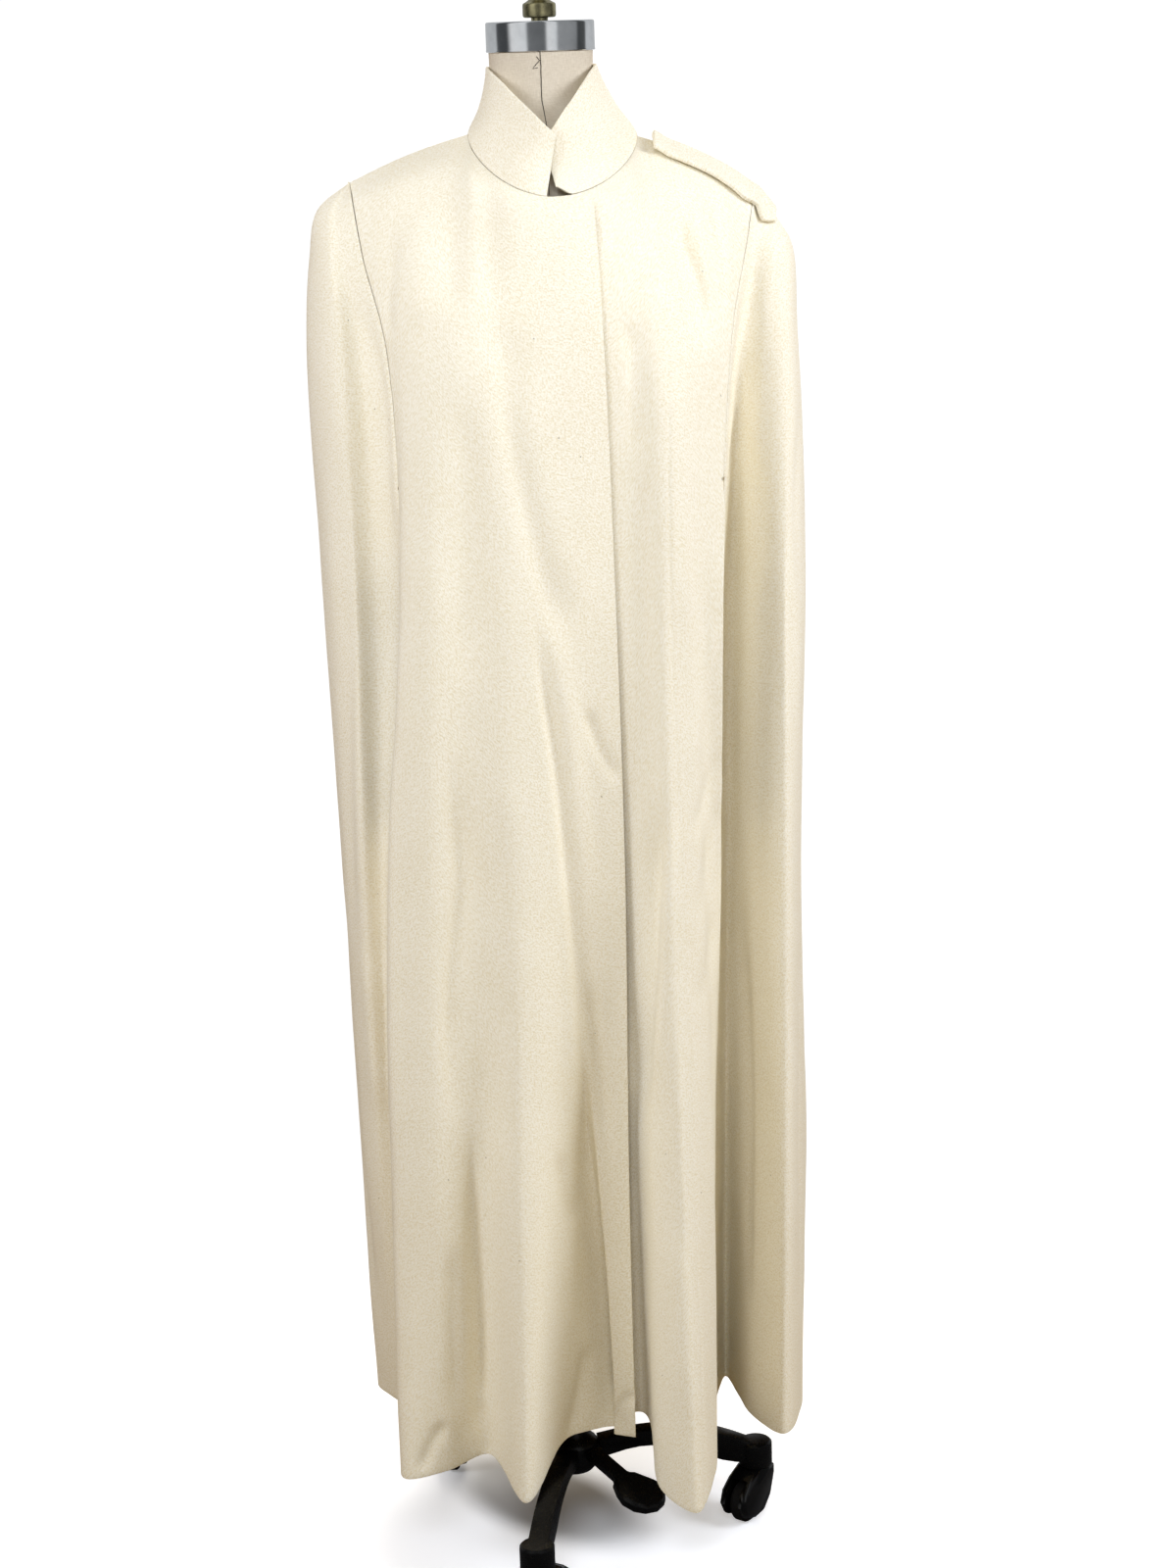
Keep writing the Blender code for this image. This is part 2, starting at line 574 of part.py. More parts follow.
def build_collar(collection, wool):
    """A band that stands on the neckline, with its right end over its left one."""
    bottom, top, normals = [], [], []
    sweep = 360.0 + COLLAR_RIGHT_END - COLLAR_LEFT_END
    for column in range(COLLAR_COLUMNS + 1):
        u = column / COLLAR_COLUMNS
        angle = COLLAR_RIGHT_END - sweep * u
        tuck = tuck_at(angle + 360.0) if u > 0.5 else 0.0
        low = neckline(angle, tuck)
        low[2] += COLLAR_CURL * smoothstep(COLLAR_CURL_FROM, 1.0, u)
        low[2] += SEAM_GAP * smoothstep(*COLLAR_RISE, u)
        turn = COLLAR_SLANT * smoothstep(COLLAR_SLANT_TO, 0.0, u)
        turn -= COLLAR_OVERLAP * smoothstep(COLLAR_OVERLAP_FROM, 1.0, u)
        a = math.radians(angle + turn)
        reach = COLLAR_FRONT - tuck if math.cos(a) > 0 else COLLAR_BACK
        if u < 0.5:
            fall = COLLAR_RIGHT_DIP * (1.0 + math.sin(a))
        else:
            fall = COLLAR_LEFT_DIP * (1.0 - math.sin(a))
        dip = fall if math.cos(a) > 0 else 0.0
        top.append(
            (
                COLLAR_X + COLLAR_HALF_WIDTH * math.sin(a),
                -reach * math.cos(a),
                COLLAR_TOP - dip,
            )
        )
        bottom.append(low)
        normals.append(neck_normal(angle))
    bottom, top = np.array(bottom), np.array(top)
    rows = []
    for row in range(COLLAR_ROWS + 1):
        t = row / COLLAR_ROWS
        level = top + (bottom - top) * t
        inward = unit(level[:, :2] - np.array((NECK_X, 0.0)))
        level[:, :2] -= COLLAR_HOLLOW * math.sin(math.pi * t) * inward
        rows.append(level)
    grid = np.array(rows)
    faces = facing(grid)
    faces[-1] = np.array(normals)
    outer, inner = drawn_in(grid, faces, COLLAR_CLOTH, ["bottom"], SEAM_GAP)
    return put("collar", wall_mesh("collar", outer, inner), wool, collection)


def cloth_top(trees, x, y):
    """The height of the cloth over x, y: the highest point of a small patch round it."""
    heights = []
    for near_x, near_y in itertools.product((-STRAP_PATCH, 0.0, STRAP_PATCH), repeat=2):
        for tree in trees:
            start = Vector((x + near_x, y + near_y, 1.7))
            point = tree.ray_cast(start, Vector((0.0, 0.0, -1.0)))[0]
            if point is not None:
                heights.append(point.z)
    return max(heights)


def build_strap(collection, wool, panels):
    """The shoulder strap, made from the heights of the panels below it and moved out from them.
    It bridges a little in the middle, and its neck end stands away."""
    trees = [
        BVHTree.FromPolygons(
            [vertex.co for vertex in panel.data.vertices],
            [face.vertices for face in panel.data.polygons],
        )
        for panel in panels
    ]
    lower = np.zeros((STRAP_ROWS + 1, STRAP_COLUMNS + 1, 3))
    for c in range(STRAP_COLUMNS + 1):
        along = c / STRAP_COLUMNS
        x = STRAP_START + (STRAP_END - STRAP_START) * along
        half_width = STRAP_HALF_WIDTH * (1.0 - 0.3 * smoothstep(0.92, 1.0, along))
        lift = STRAP_CLEARANCE + STRAP_LIFT * smoothstep(0.14, 0.0, along)
        lift += STRAP_BRIDGE * smoothstep(0.82, 0.62, along)
        for r in range(STRAP_ROWS + 1):
            y = STRAP_MIDDLE + half_width * (2.0 * r / STRAP_ROWS - 1.0)
            lower[r, c] = (x, y, cloth_top(trees, x, y) + lift)
    upper = lower + STRAP_CLOTH * facing(lower)
    return put("epaulette", wall_mesh("epaulette", upper, lower), wool, collection)


# ---------------------------------------------------------------- the dress form


def oval_ring(oval):
    points = []
    lower = smoothstep(1.60, 1.56, oval.z)
    centre = NECK_CENTRE[0] + FORM_SHIFT * lower
    for side in range(FORM_SIDES):
        a = 2.0 * math.pi * side / FORM_SIDES
        across_it = math.copysign(abs(math.sin(a)) ** (2.0 / oval.power), math.sin(a))
        through_it = math.copysign(abs(math.cos(a)) ** (2.0 / oval.power), math.cos(a))
        depth = oval.front if through_it > 0 else oval.back
        x = oval.half_width * across_it
        y = NECK_CENTRE[1] - depth * through_it
        points.append((centre + x, y, oval.z - FORM_LEAN * lower * x))
    return points


def build_torso(collection, linen):
    mesh = bmesh.new()
    rings = [[mesh.verts.new(point) for point in oval_ring(oval)] for oval in TORSO]
    for high, low in zip(rings, rings[1:]):
        for side in range(FORM_SIDES):
            after = (side + 1) % FORM_SIDES
            mesh.faces.new((high[side], low[side], low[after], high[after]))
    mesh.faces.new(rings[0])
    mesh.faces.new(rings[-1][::-1])
    bmesh.ops.recalc_face_normals(mesh, faces=mesh.faces)
    made = bpy.data.meshes.new("form_torso")
    mesh.to_mesh(made)
    mesh.free()
    made.shade_smooth()
    made.set_sharp_from_angle(angle=math.radians(50.0))
    return put("form_torso", made, linen, collection)


def turned(name, profile, finish, collection, at, steps=32, parent=None):
    """A solid of revolution about +Z from a profile of (radius, height) that runs from top to bottom."""
    mesh = bpy.data.meshes.new(name)
    mesh.from_pydata([(r, 0.0, z) for r, z in profile], [(i, i + 1) for i in range(len(profile) - 1)], [])
    made = put(name, mesh, finish, collection, at, parent)
    screw = made.modifiers.new("turn", "SCREW")
    screw.axis = "Z"
    screw.steps = screw.render_steps = steps
    screw.use_merge_vertices = True
    screw.merge_threshold = 0.0001
    screw.use_smooth_shade = True
    return made


def build_neck_fittings(collection, steel, brass):
    x, y = NECK_CENTRE
    turned(
        "neck_cap",
        [(0.0, CAP_TOP), (CAP_RADIUS - 0.0015, CAP_TOP), (CAP_RADIUS, CAP_TOP - 0.0015),
         (CAP_RADIUS, CAP_BOTTOM), (0.0, CAP_BOTTOM)],
        steel, collection, (x, y, 0.0), 48,
    )
    foot = CAP_TOP + SEAM_GAP
    turned(
        "finial",
        [(0.0, foot + 0.050), (0.006, foot + 0.049), (0.011, foot + 0.044), (0.013, foot + 0.037),
         (0.011, foot + 0.030), (0.0065, foot + 0.025), (0.0065, foot + 0.020),
         (0.0145, foot + 0.016), (0.0175, foot + 0.010), (0.0175, foot + 0.004),
         (0.0150, foot), (0.0, foot)],
        brass, collection, (x, y, 0.0), 24,
    )


# ---------------------------------------------------------------- the base


def build_column(collection, iron, steel):
    x, y = HUB
    torso_foot = TORSO[-1].z - SEAM_GAP
    turned(
        "pole",
        [(0.0, torso_foot), (POLE_RADIUS, torso_foot), (POLE_RADIUS, POLE_BOTTOM), (0.0, POLE_BOTTOM)],
        steel, collection, (x, y, 0.0), 24,
    )
    turned(
        "hub",
        [(SLEEVE_BORE, SLEEVE_TOP), (SLEEVE_RADIUS, SLEEVE_TOP), (SLEEVE_RADIUS, HUB_TOP + 0.004),
         (0.021, HUB_TOP), (HUB_RADIUS, HUB_TOP - 0.006), (HUB_RADIUS, HUB_BOTTOM + 0.008),
         (0.022, HUB_BOTTOM), (0.0, HUB_BOTTOM), (0.0, SLEEVE_FLOOR),
         (SLEEVE_BORE, SLEEVE_FLOOR), (SLEEVE_BORE, SLEEVE_TOP)],
        iron, collection, (x, y, 0.0), 24,
    )


def plate_mesh(name, outline, thickness, collection):
    """A flat plate of the outline, centred on z = 0."""
    curve = bpy.data.curves.new(name + "_outline", "CURVE")
    curve.dimensions = "2D"
    curve.fill_mode = "BOTH"
    curve.extrude = thickness / 2
    spline = curve.splines.new("POLY")
    spline.points.add(len(outline) - 1)
    for point, (x, y) in zip(spline.points, outline):
        point.co = (x, y, 0.0, 1.0)
    spline.use_cyclic_u = True
    guide = bpy.data.objects.new(name + "_guide", curve)
    collection.objects.link(guide)
    bpy.context.view_layer.update()
    made = bpy.data.meshes.new_from_object(guide.evaluated_get(bpy.context.evaluated_depsgraph_get()))
    bpy.data.objects.remove(guide)
    mesh = bmesh.new()
    mesh.from_mesh(made)
    bmesh.ops.remove_doubles(mesh, verts=mesh.verts, dist=0.00001)
    bmesh.ops.recalc_face_normals(mesh, faces=mesh.faces)
    mesh.to_mesh(made)
    mesh.free()
    made.name = name
    return made


def round_edges(made, radius, segments):
    bevel = made.modifiers.new("rounded edge", "BEVEL")
    bevel.width = radius
    bevel.segments = segments
    bevel.limit_method = "ANGLE"
    bevel.angle_limit = math.radians(50.0)
    made.data.shade_smooth()
    made.data.set_sharp_from_angle(angle=math.radians(50.0))


def cut_or_join(target, other, operation):
    other.hide_render = True
    other.display_type = "WIRE"
    modifier = target.modifiers.new(operation.lower(), "BOOLEAN")
    modifier.operation = operation
    modifier.solver = "EXACT"
    modifier.object = other


def upright(mesh):
    mesh.transform(Matrix.Rotation(math.radians(90.0), 4, "X"))
    return mesh


def build_leg(name, angle, collection, helpers, iron):
    """A flat arched leg with a round seat for the caster at its end."""
    top = through(LEG_TOP, (3, 4, 4, 3))
    low = through(LEG_LOW, (3, 4, 4, 3))
    plate = upright(plate_mesh(name, np.concatenate([top, low]), LEG_WIDTH, collection))
    leg = put(name, plate, iron, collection, (*HUB, 0.0))
    leg.rotation_euler.z = math.radians(angle - 90.0)
    round_edges(leg, LEG_EDGE, 1)
    seat = turned(
        name + "_boss",
        [(0.0, BOSS_TOP), (BOSS_RADIUS - LEG_EDGE, BOSS_TOP), (BOSS_RADIUS, BOSS_TOP - LEG_EDGE),
         (BOSS_RADIUS, BOSS_BOTTOM), (0.0, BOSS_BOTTOM)],
        iron, helpers, (LEG_REACH, 0.0, 0.0), 24, leg,
    )
    cut_or_join(leg, seat, "UNION")


def boss_place(angle):
    a = math.radians(angle)
    return (HUB[0] + LEG_REACH * math.sin(a), HUB[1] - LEG_REACH * math.cos(a))


def build_caster(name, place, turn, collection, helpers, gloss, tyre):
    """A hooded swivel caster: the hood turns under the boss, and the wheel rolls in the hood."""
    swivel = bpy.data.objects.new(name + "_swivel", None)
    swivel.location = (*place, 0.0)
    swivel.rotation_euler.z = math.radians(turn)
    collection.objects.link(swivel)
    shell = upright(plate_mesh(name + "_hood", HOOD, HOOD_WIDTH, collection))
    hood = put(name + "_hood", shell, gloss, collection, parent=swivel)
    round_edges(hood, HOOD_EDGE, 2)
    slot_mesh = bmesh.new()
    bmesh.ops.create_cube(slot_mesh, size=1.0)
    slot_mesh.transform(
        Matrix.Translation((-TRAIL, 0.0, 0.010)) @ Matrix.Diagonal((0.110, SLOT_WIDTH, 0.086, 1.0))
    )
    cut = bpy.data.meshes.new(name + "_slot")
    slot_mesh.to_mesh(cut)
    slot_mesh.free()
    cut_or_join(hood, put(name + "_slot", cut, gloss, helpers, parent=swivel), "DIFFERENCE")
    half, axle = WHEEL_WIDTH / 2, SLOT_WIDTH / 2 - SEAM_GAP
    rim = WHEEL_RADIUS - WHEEL_SHOULDER
    side = [(0.0, axle), (AXLE_RADIUS, axle), (AXLE_RADIUS, half), (rim, half),
            (WHEEL_RADIUS, half - WHEEL_SHOULDER)]
    half_facet = math.pi / WHEEL_FACETS
    wheel = turned(
        name + "_wheel",
        side + [(r, -z) for r, z in reversed(side)],
        tyre, collection, (-TRAIL, 0.0, WHEEL_RADIUS * math.cos(half_facet)), WHEEL_FACETS, swivel,
    )
    wheel.rotation_euler = (math.radians(90.0), half_facet, 0.0)


def build_pedal(collection, helpers, iron):
    """A foot pedal: a narrow arm with a wide pad, and a round knuckle that turns beside the hub."""
    pivot = bpy.data.objects.new("pedal_pivot", None)
    a = math.radians(PEDAL_ANGLE)
    half_arm, knuckle = ARM_WIDTH / 2, PEDAL_THICKNESS / 2
    radius = HUB_RADIUS + SEAM_GAP + knuckle
    pivot.location = (HUB[0] + radius * math.sin(a), HUB[1] - radius * math.cos(a), PEDAL_HEIGHT)
    pivot.rotation_euler = (0.0, math.radians(PEDAL_TILT), a - math.radians(90.0))
    collection.objects.link(pivot)
    outline = [(0.0, -half_arm), (PEDAL_ARM - 0.004, -half_arm), (PEDAL_ARM, -0.6 * PEDAL_PAD)]
    for turn in (-120.0, -90.0, -60.0, -30.0, 0.0):
        c, d = math.cos(math.radians(turn)), math.sin(math.radians(turn))
        outline.append((PEDAL_ARM + PEDAL_HALF_LENGTH * (1.0 + c), PEDAL_PAD * d))
    outline += [(x, -y) for x, y in outline[-2::-1]]
    plate = plate_mesh("pedal", outline, PEDAL_THICKNESS, collection)
    pedal = put("pedal", plate, iron, collection, parent=pivot)
    round_edges(pedal, PEDAL_EDGE, 1)
    pin = turned(
        "pedal_knuckle",
        [(0.0, half_arm - PEDAL_EDGE / 2), (knuckle, half_arm - PEDAL_EDGE / 2),
         (knuckle, PEDAL_EDGE / 2 - half_arm), (0.0, PEDAL_EDGE / 2 - half_arm)],
        iron, helpers, (0.0, 0.0, 0.0), 16, pivot,
    )
    pin.rotation_euler.x = math.radians(90.0)
    cut_or_join(pedal, pin, "UNION")


# ---------------------------------------------------------------- the whole


def main():
    for thing in list(bpy.data.objects):
        bpy.data.objects.remove(thing)
    parts = bpy.data.collections.new("cape_coat_on_dress_form")
    helpers = bpy.data.collections.new("cutters")
    for collection in (parts, helpers):
        bpy.context.scene.collection.children.link(collection)

    wool = material("cream wool", (0.72, 0.63, 0.45), 0.92)
    linen = material("linen", (0.58, 0.50, 0.40), 0.85)
    steel = material("brushed steel", (0.60, 0.60, 0.60), 0.35, 1.0)
    brass = material("brass", (0.55, 0.47, 0.25), 0.40, 1.0)
    iron = material("black cast iron", (0.012, 0.012, 0.012), 0.45)
    gloss = material("black gloss", (0.010, 0.010, 0.010), 0.12)
    tyre = material("black tyre", (0.015, 0.015, 0.015), 0.55)

    panels = build_cape(parts, wool)
    build_collar(parts, wool)
    over = ("front_left", "front_left_side", "side_left", "side_left_front", "back")
    build_strap(parts, wool, [panels[name] for name in over])
    build_torso(parts, linen)
    build_neck_fittings(parts, steel, brass)
    build_column(parts, iron, steel)
    for name, angle in LEG_ANGLES.items():
        build_leg("leg_" + name, angle, parts, helpers, iron)
        place = boss_place(angle)
        build_caster("caster_" + name, place, CASTER_TURNS[name], parts, helpers, gloss, tyre)
    build_pedal(parts, helpers, iron)


if __name__ == "__main__":
    main()
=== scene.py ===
"""A full-length wool cape coat on a limbless dress form with a wheeled cast base.

Metres, +Z up, the front of the cape towards -Y. "Right" and "left" in the names of the cape's
pieces are the wearer's, so a right piece lies at -X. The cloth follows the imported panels' crease
lines, some of its valleys drawn deeper, with smaller folds, seams, puckers and a weave worked in.
"""

from __future__ import annotations

import json
import logging
import math
from dataclasses import dataclass, field
from enum import Enum
from typing import Callable, NamedTuple, Sequence

import bmesh
import bpy
import numpy as np
from mathutils import Matrix, Vector, noise
from mathutils.bvhtree import BVHTree


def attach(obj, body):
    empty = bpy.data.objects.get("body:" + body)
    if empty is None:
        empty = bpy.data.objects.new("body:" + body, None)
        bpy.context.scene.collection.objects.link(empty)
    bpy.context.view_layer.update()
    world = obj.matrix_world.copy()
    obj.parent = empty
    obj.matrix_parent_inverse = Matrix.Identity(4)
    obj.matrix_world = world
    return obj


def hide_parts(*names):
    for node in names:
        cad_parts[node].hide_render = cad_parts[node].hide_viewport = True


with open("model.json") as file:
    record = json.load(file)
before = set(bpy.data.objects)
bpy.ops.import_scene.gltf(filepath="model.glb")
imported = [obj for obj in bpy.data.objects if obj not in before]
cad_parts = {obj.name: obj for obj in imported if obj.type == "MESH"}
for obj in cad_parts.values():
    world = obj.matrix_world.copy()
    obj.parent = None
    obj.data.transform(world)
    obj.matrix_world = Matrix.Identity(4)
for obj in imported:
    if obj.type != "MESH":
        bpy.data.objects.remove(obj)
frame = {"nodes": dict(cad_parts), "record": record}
log = logging.getLogger("cape")

MM = 0.001
JOINED = 0.01 * MM  # points that lie closer than this are one
TURNED_EDGE = math.radians(35.0)  # a turned surface that bends more than this has an edge
CUT_EDGE = math.radians(55.0)  # and cloth that bends more than this is at a cut edge
WAVE_LENGTH = 0.314  # how long one band of the wave texture is at scale 1
Link = tuple[bpy.types.Node, str | int]


# ---------------------------------------------------------------- small mathematics


def smoothstep(low: float, high: float, value: np.ndarray | float) -> np.ndarray | float:
    """Run smoothly from 0 at low to 1 at high.

    Args:
        low: Where the step is still 0. It may lie above high, which turns the step round.
        high: Where the step has reached 1.
        value: One number or an array of them.

    Returns:
        The step at each value.
    """
    t = np.clip((value - low) / (high - low), 0.0, 1.0)
    return t * t * (3.0 - 2.0 * t)


def unit(vectors: np.ndarray) -> np.ndarray:
    """Return the vectors at length 1."""
    return vectors / np.maximum(1e-12, np.linalg.norm(vectors, axis=-1, keepdims=True))


def through(knots: np.ndarray, places: np.ndarray) -> np.ndarray:
    """Lay centripetal Catmull-Rom curves through rows of knots.

    Args:
        knots: The knots, with shape (..., n, size).
        places: Where the points lie, from 0 at the first knot to n - 1 at the last.

    Returns:
        The points, with shape (..., len(places), size).
    """
    knots = np.asarray(knots, float)
    first = 2.0 * knots[..., :1, :] - knots[..., 1:2, :]
    last = 2.0 * knots[..., -1:, :] - knots[..., -2:-1, :]
    ends = np.concatenate([first, knots, last], axis=-2)
    gaps = np.clip(np.floor(places).astype(int), 0, knots.shape[-2] - 2)
    local = (places - gaps)[:, None]
    a, b, c, d = (ends[..., gaps + step, :] for step in range(4))
    l1, l2, l3 = (
        np.sqrt(np.maximum(1e-6, np.linalg.norm(q - p, axis=-1, keepdims=True)))
        for p, q in ((a, b), (b, c), (c, d))
    )
    t1, t2, t3 = l1, l1 + l2, l1 + l2 + l3
    t = t1 + (t2 - t1) * local
    ab = (a * (t1 - t) + b * t) / t1
    bc = (b * (t2 - t) + c * (t - t1)) / (t2 - t1)
    cd = (c * (t3 - t) + d * (t - t2)) / (t3 - t2)
    abc = (ab * (t2 - t) + bc * t) / t2
    bcd = (bc * (t3 - t) + cd * (t - t1)) / (t3 - t1)
    return (abc * (t2 - t) + bcd * (t - t1)) / (t2 - t1)


def spread(steps: Sequence[int]) -> np.ndarray:
    """Places along knots, with steps[i] of them from knot i to the next."""
    parts = [gap + np.arange(count) / count for gap, count in enumerate(steps)]
    return np.concatenate([*parts, [float(len(steps))]])


def facing(grid: np.ndarray) -> np.ndarray:
    """The outward unit normals of a grid whose columns run clockwise round the cape."""
    return unit(np.cross(np.gradient(grid, axis=1), np.gradient(grid, axis=0)))


def lengths_along(grid: np.ndarray, axis: int) -> np.ndarray:
    """The distance run along each line of the grid from its start.

    Args:
        grid: Points with shape (rows, columns, 3).
        axis: 0 to run down the columns, 1 to run along the rows.

    Returns:
        A distance for each point, in metres.
    """
    steps = np.linalg.norm(np.diff(grid, axis=axis), axis=2)
    run = np.cumsum(steps, axis=axis)
    pad = [(1, 0), (0, 0)] if axis == 0 else [(0, 0), (1, 0)]
    return np.pad(run, pad)


def laid_flat(grid: np.ndarray, column: int = 0) -> np.ndarray:
    """Where each point of a grid lies on the flat cloth, in metres from one of its columns."""
    along = lengths_along(grid, 1)
    return np.stack([along - along[:, column : column + 1], -lengths_along(grid, 0)], axis=2)


def bell(distance: np.ndarray, reach: np.ndarray | float) -> np.ndarray:
    """Fall smoothly from 1 to 0 with distance, to about a third at reach."""
    return np.exp(-((distance / reach) ** 2))


class Swell(NamedTuple):
    """Smooth random relief that is the same on every run.

    size is how long one swell is along x, y and z in metres, and seed picks another part of the
    pattern.
    """

    height: float
    size: tuple[float, float, float]
    seed: float

    def on(self, points: np.ndarray) -> np.ndarray:
        """The relief, from about -height to height, at each point of a grid."""
        scaled = points.reshape(-1, 3) / np.asarray(self.size) + self.seed
        values = [noise.noise(Vector(p)) for p in scaled]
        return self.height * np.array(values).reshape(points.shape[:2])


# ---------------------------------------------------------------- materials


def linear(colour: str) -> tuple[float, float, float, float]:
    """Turn an sRGB hex colour such as #F0E6D0 to linear red, green, blue and alpha."""
    values = (int(colour[i : i + 2], 16) / 255.0 for i in (1, 3, 5))
    r, g, b = (v / 12.92 if v <= 0.04045 else ((v + 0.055) / 1.055) ** 2.4 for v in values)
    return (r, g, b, 1.0)


def set_inputs(
    tree: bpy.types.NodeTree, node: bpy.types.Node, inputs: dict[str | int, object]
) -> None:
    """Set some of a node's inputs, each to a value or to the (node, output) that it is linked from."""
    for name, value in inputs.items():
        if isinstance(value, tuple) and isinstance(value[0], bpy.types.Node):
            tree.links.new(value[0].outputs[value[1]], node.inputs[name])
        else:
            node.inputs[name].default_value = value


def add_node(
    tree: bpy.types.NodeTree,
    kind: str,
    inputs: dict[str | int, object] | None = None,
    **settings: object,
) -> bpy.types.Node:
    """Add a shader node with its settings and its inputs.

    Args:
        tree: The tree that the node joins.
        kind: The node's type name, without the ShaderNode that starts each of them.
        inputs: For each input, a value or the (node, output) that it is linked from.
        settings: The node's own properties.

    Returns:
        The new node.
    """
    node = tree.nodes.new("ShaderNode" + kind)
    for name, value in settings.items():
        setattr(node, name, value)
    set_inputs(tree, node, inputs or {})
    return node


def cut_place(tree: bpy.types.NodeTree) -> Link:
    """The place on the flat cloth, in metres."""
    return add_node(tree, "UVMap", uv_map="cut"), "UV"


def stretched(tree: bpy.types.NodeTree, place: Link, scale: Sequence[float]) -> Link:
    """A place scaled along each axis."""
    return add_node(tree, "Mapping", {"Vector": place, "Scale": scale}), "Vector"


def speckle(
    tree: bpy.types.NodeTree, place: Link, scale: float, detail: float, roughness: float = 0.5
) -> Link:
    """Smooth noise, with scale as its lumps for each metre."""
    inputs = {"Vector": place, "Scale": scale, "Detail": detail, "Roughness": roughness}
    return add_node(tree, "TexNoise", inputs), "Fac"


def maths(tree: bpy.types.NodeTree, operation: str, *values: Link | float) -> Link:
    """One sum with up to three values."""
    return add_node(tree, "Math", dict(enumerate(values)), operation=operation), "Value"


def graded(
    tree: bpy.types.NodeTree,
    value: Link,
    low: float,
    high: float,
    to: tuple[float, float] = (0.0, 1.0),
    smooth: bool = False,
) -> Link:
    """A value mapped from low and high to two others, and held there beyond them.

    Args:
        tree: The tree that the node joins.
        value: What is mapped.
        low: Where it gives the first of the two others.
        high: Where it gives the second. It may lie below low.
        to: The two others.
        smooth: Whether it eases in and out between them.

    Returns:
        The result.
    """
    inputs = {"Value": value, "From Min": low, "From Max": high, "To Min": to[0], "To Max": to[1]}
    kind = "SMOOTHSTEP" if smooth else "LINEAR"
    return add_node(tree, "MapRange", inputs, interpolation_type=kind), "Result"


def relief(tree: bpy.types.NodeTree, height: Link, strength: float, depth: float) -> Link:
    """A surface raised by a pattern, up to a depth in metres."""
    inputs = {"Height": height, "Strength": strength, "Distance": depth}
    return add_node(tree, "Bump", inputs), "Normal"


def ramp(tree: bpy.types.NodeTree, source: Link, stops: Sequence[tuple[float, str]]) -> Link:
    """A colour that follows a value, from the place and hex colour of each stop in order."""
    node = add_node(tree, "ValToRGB", {"Fac": source})
    elements = node.color_ramp.elements
    while len(elements) < len(stops):
        elements.new(0.5)
    for element, (place, colour) in zip(elements, stops):
        element.position = place
        element.color = linear(colour)
    return node, "Color"


def blended(tree: bpy.types.NodeTree, share: Link, first: object, second: object) -> Link:
    """A colour that goes from the first to the second as share goes from 0 to 1."""
    inputs = {"Factor": share, 6: first, 7: second}  # 6 and 7 are its two colours
    return add_node(tree, "Mix", inputs, data_type="RGBA"), 2


def either(tree: bpy.types.NodeTree, share: Link, first: Link, second: Link) -> Link:
    """A shader that goes from the first to the second as share goes from 0 to 1."""
    return add_node(tree, "MixShader", {0: share, 1: first, 2: second}), "Shader"


@dataclass(frozen=True)
class Finish:
    """What a surface is made of. A subclass draws its own nodes."""

    name: str

    def make(self) -> bpy.types.Material:
        """Build the material, or return it if it is there already."""
        made = bpy.data.materials.get(self.name)
        if made is not None:
            return made
        made = bpy.data.materials.new(self.name)
        made.use_nodes = True
        tree = made.node_tree
        self.draw(tree, tree.nodes["Principled BSDF"])
        return made

    def draw(self, tree: bpy.types.NodeTree, shader: bpy.types.Node) -> None:
        """Set the shader and link its patterns."""
        raise NotImplementedError


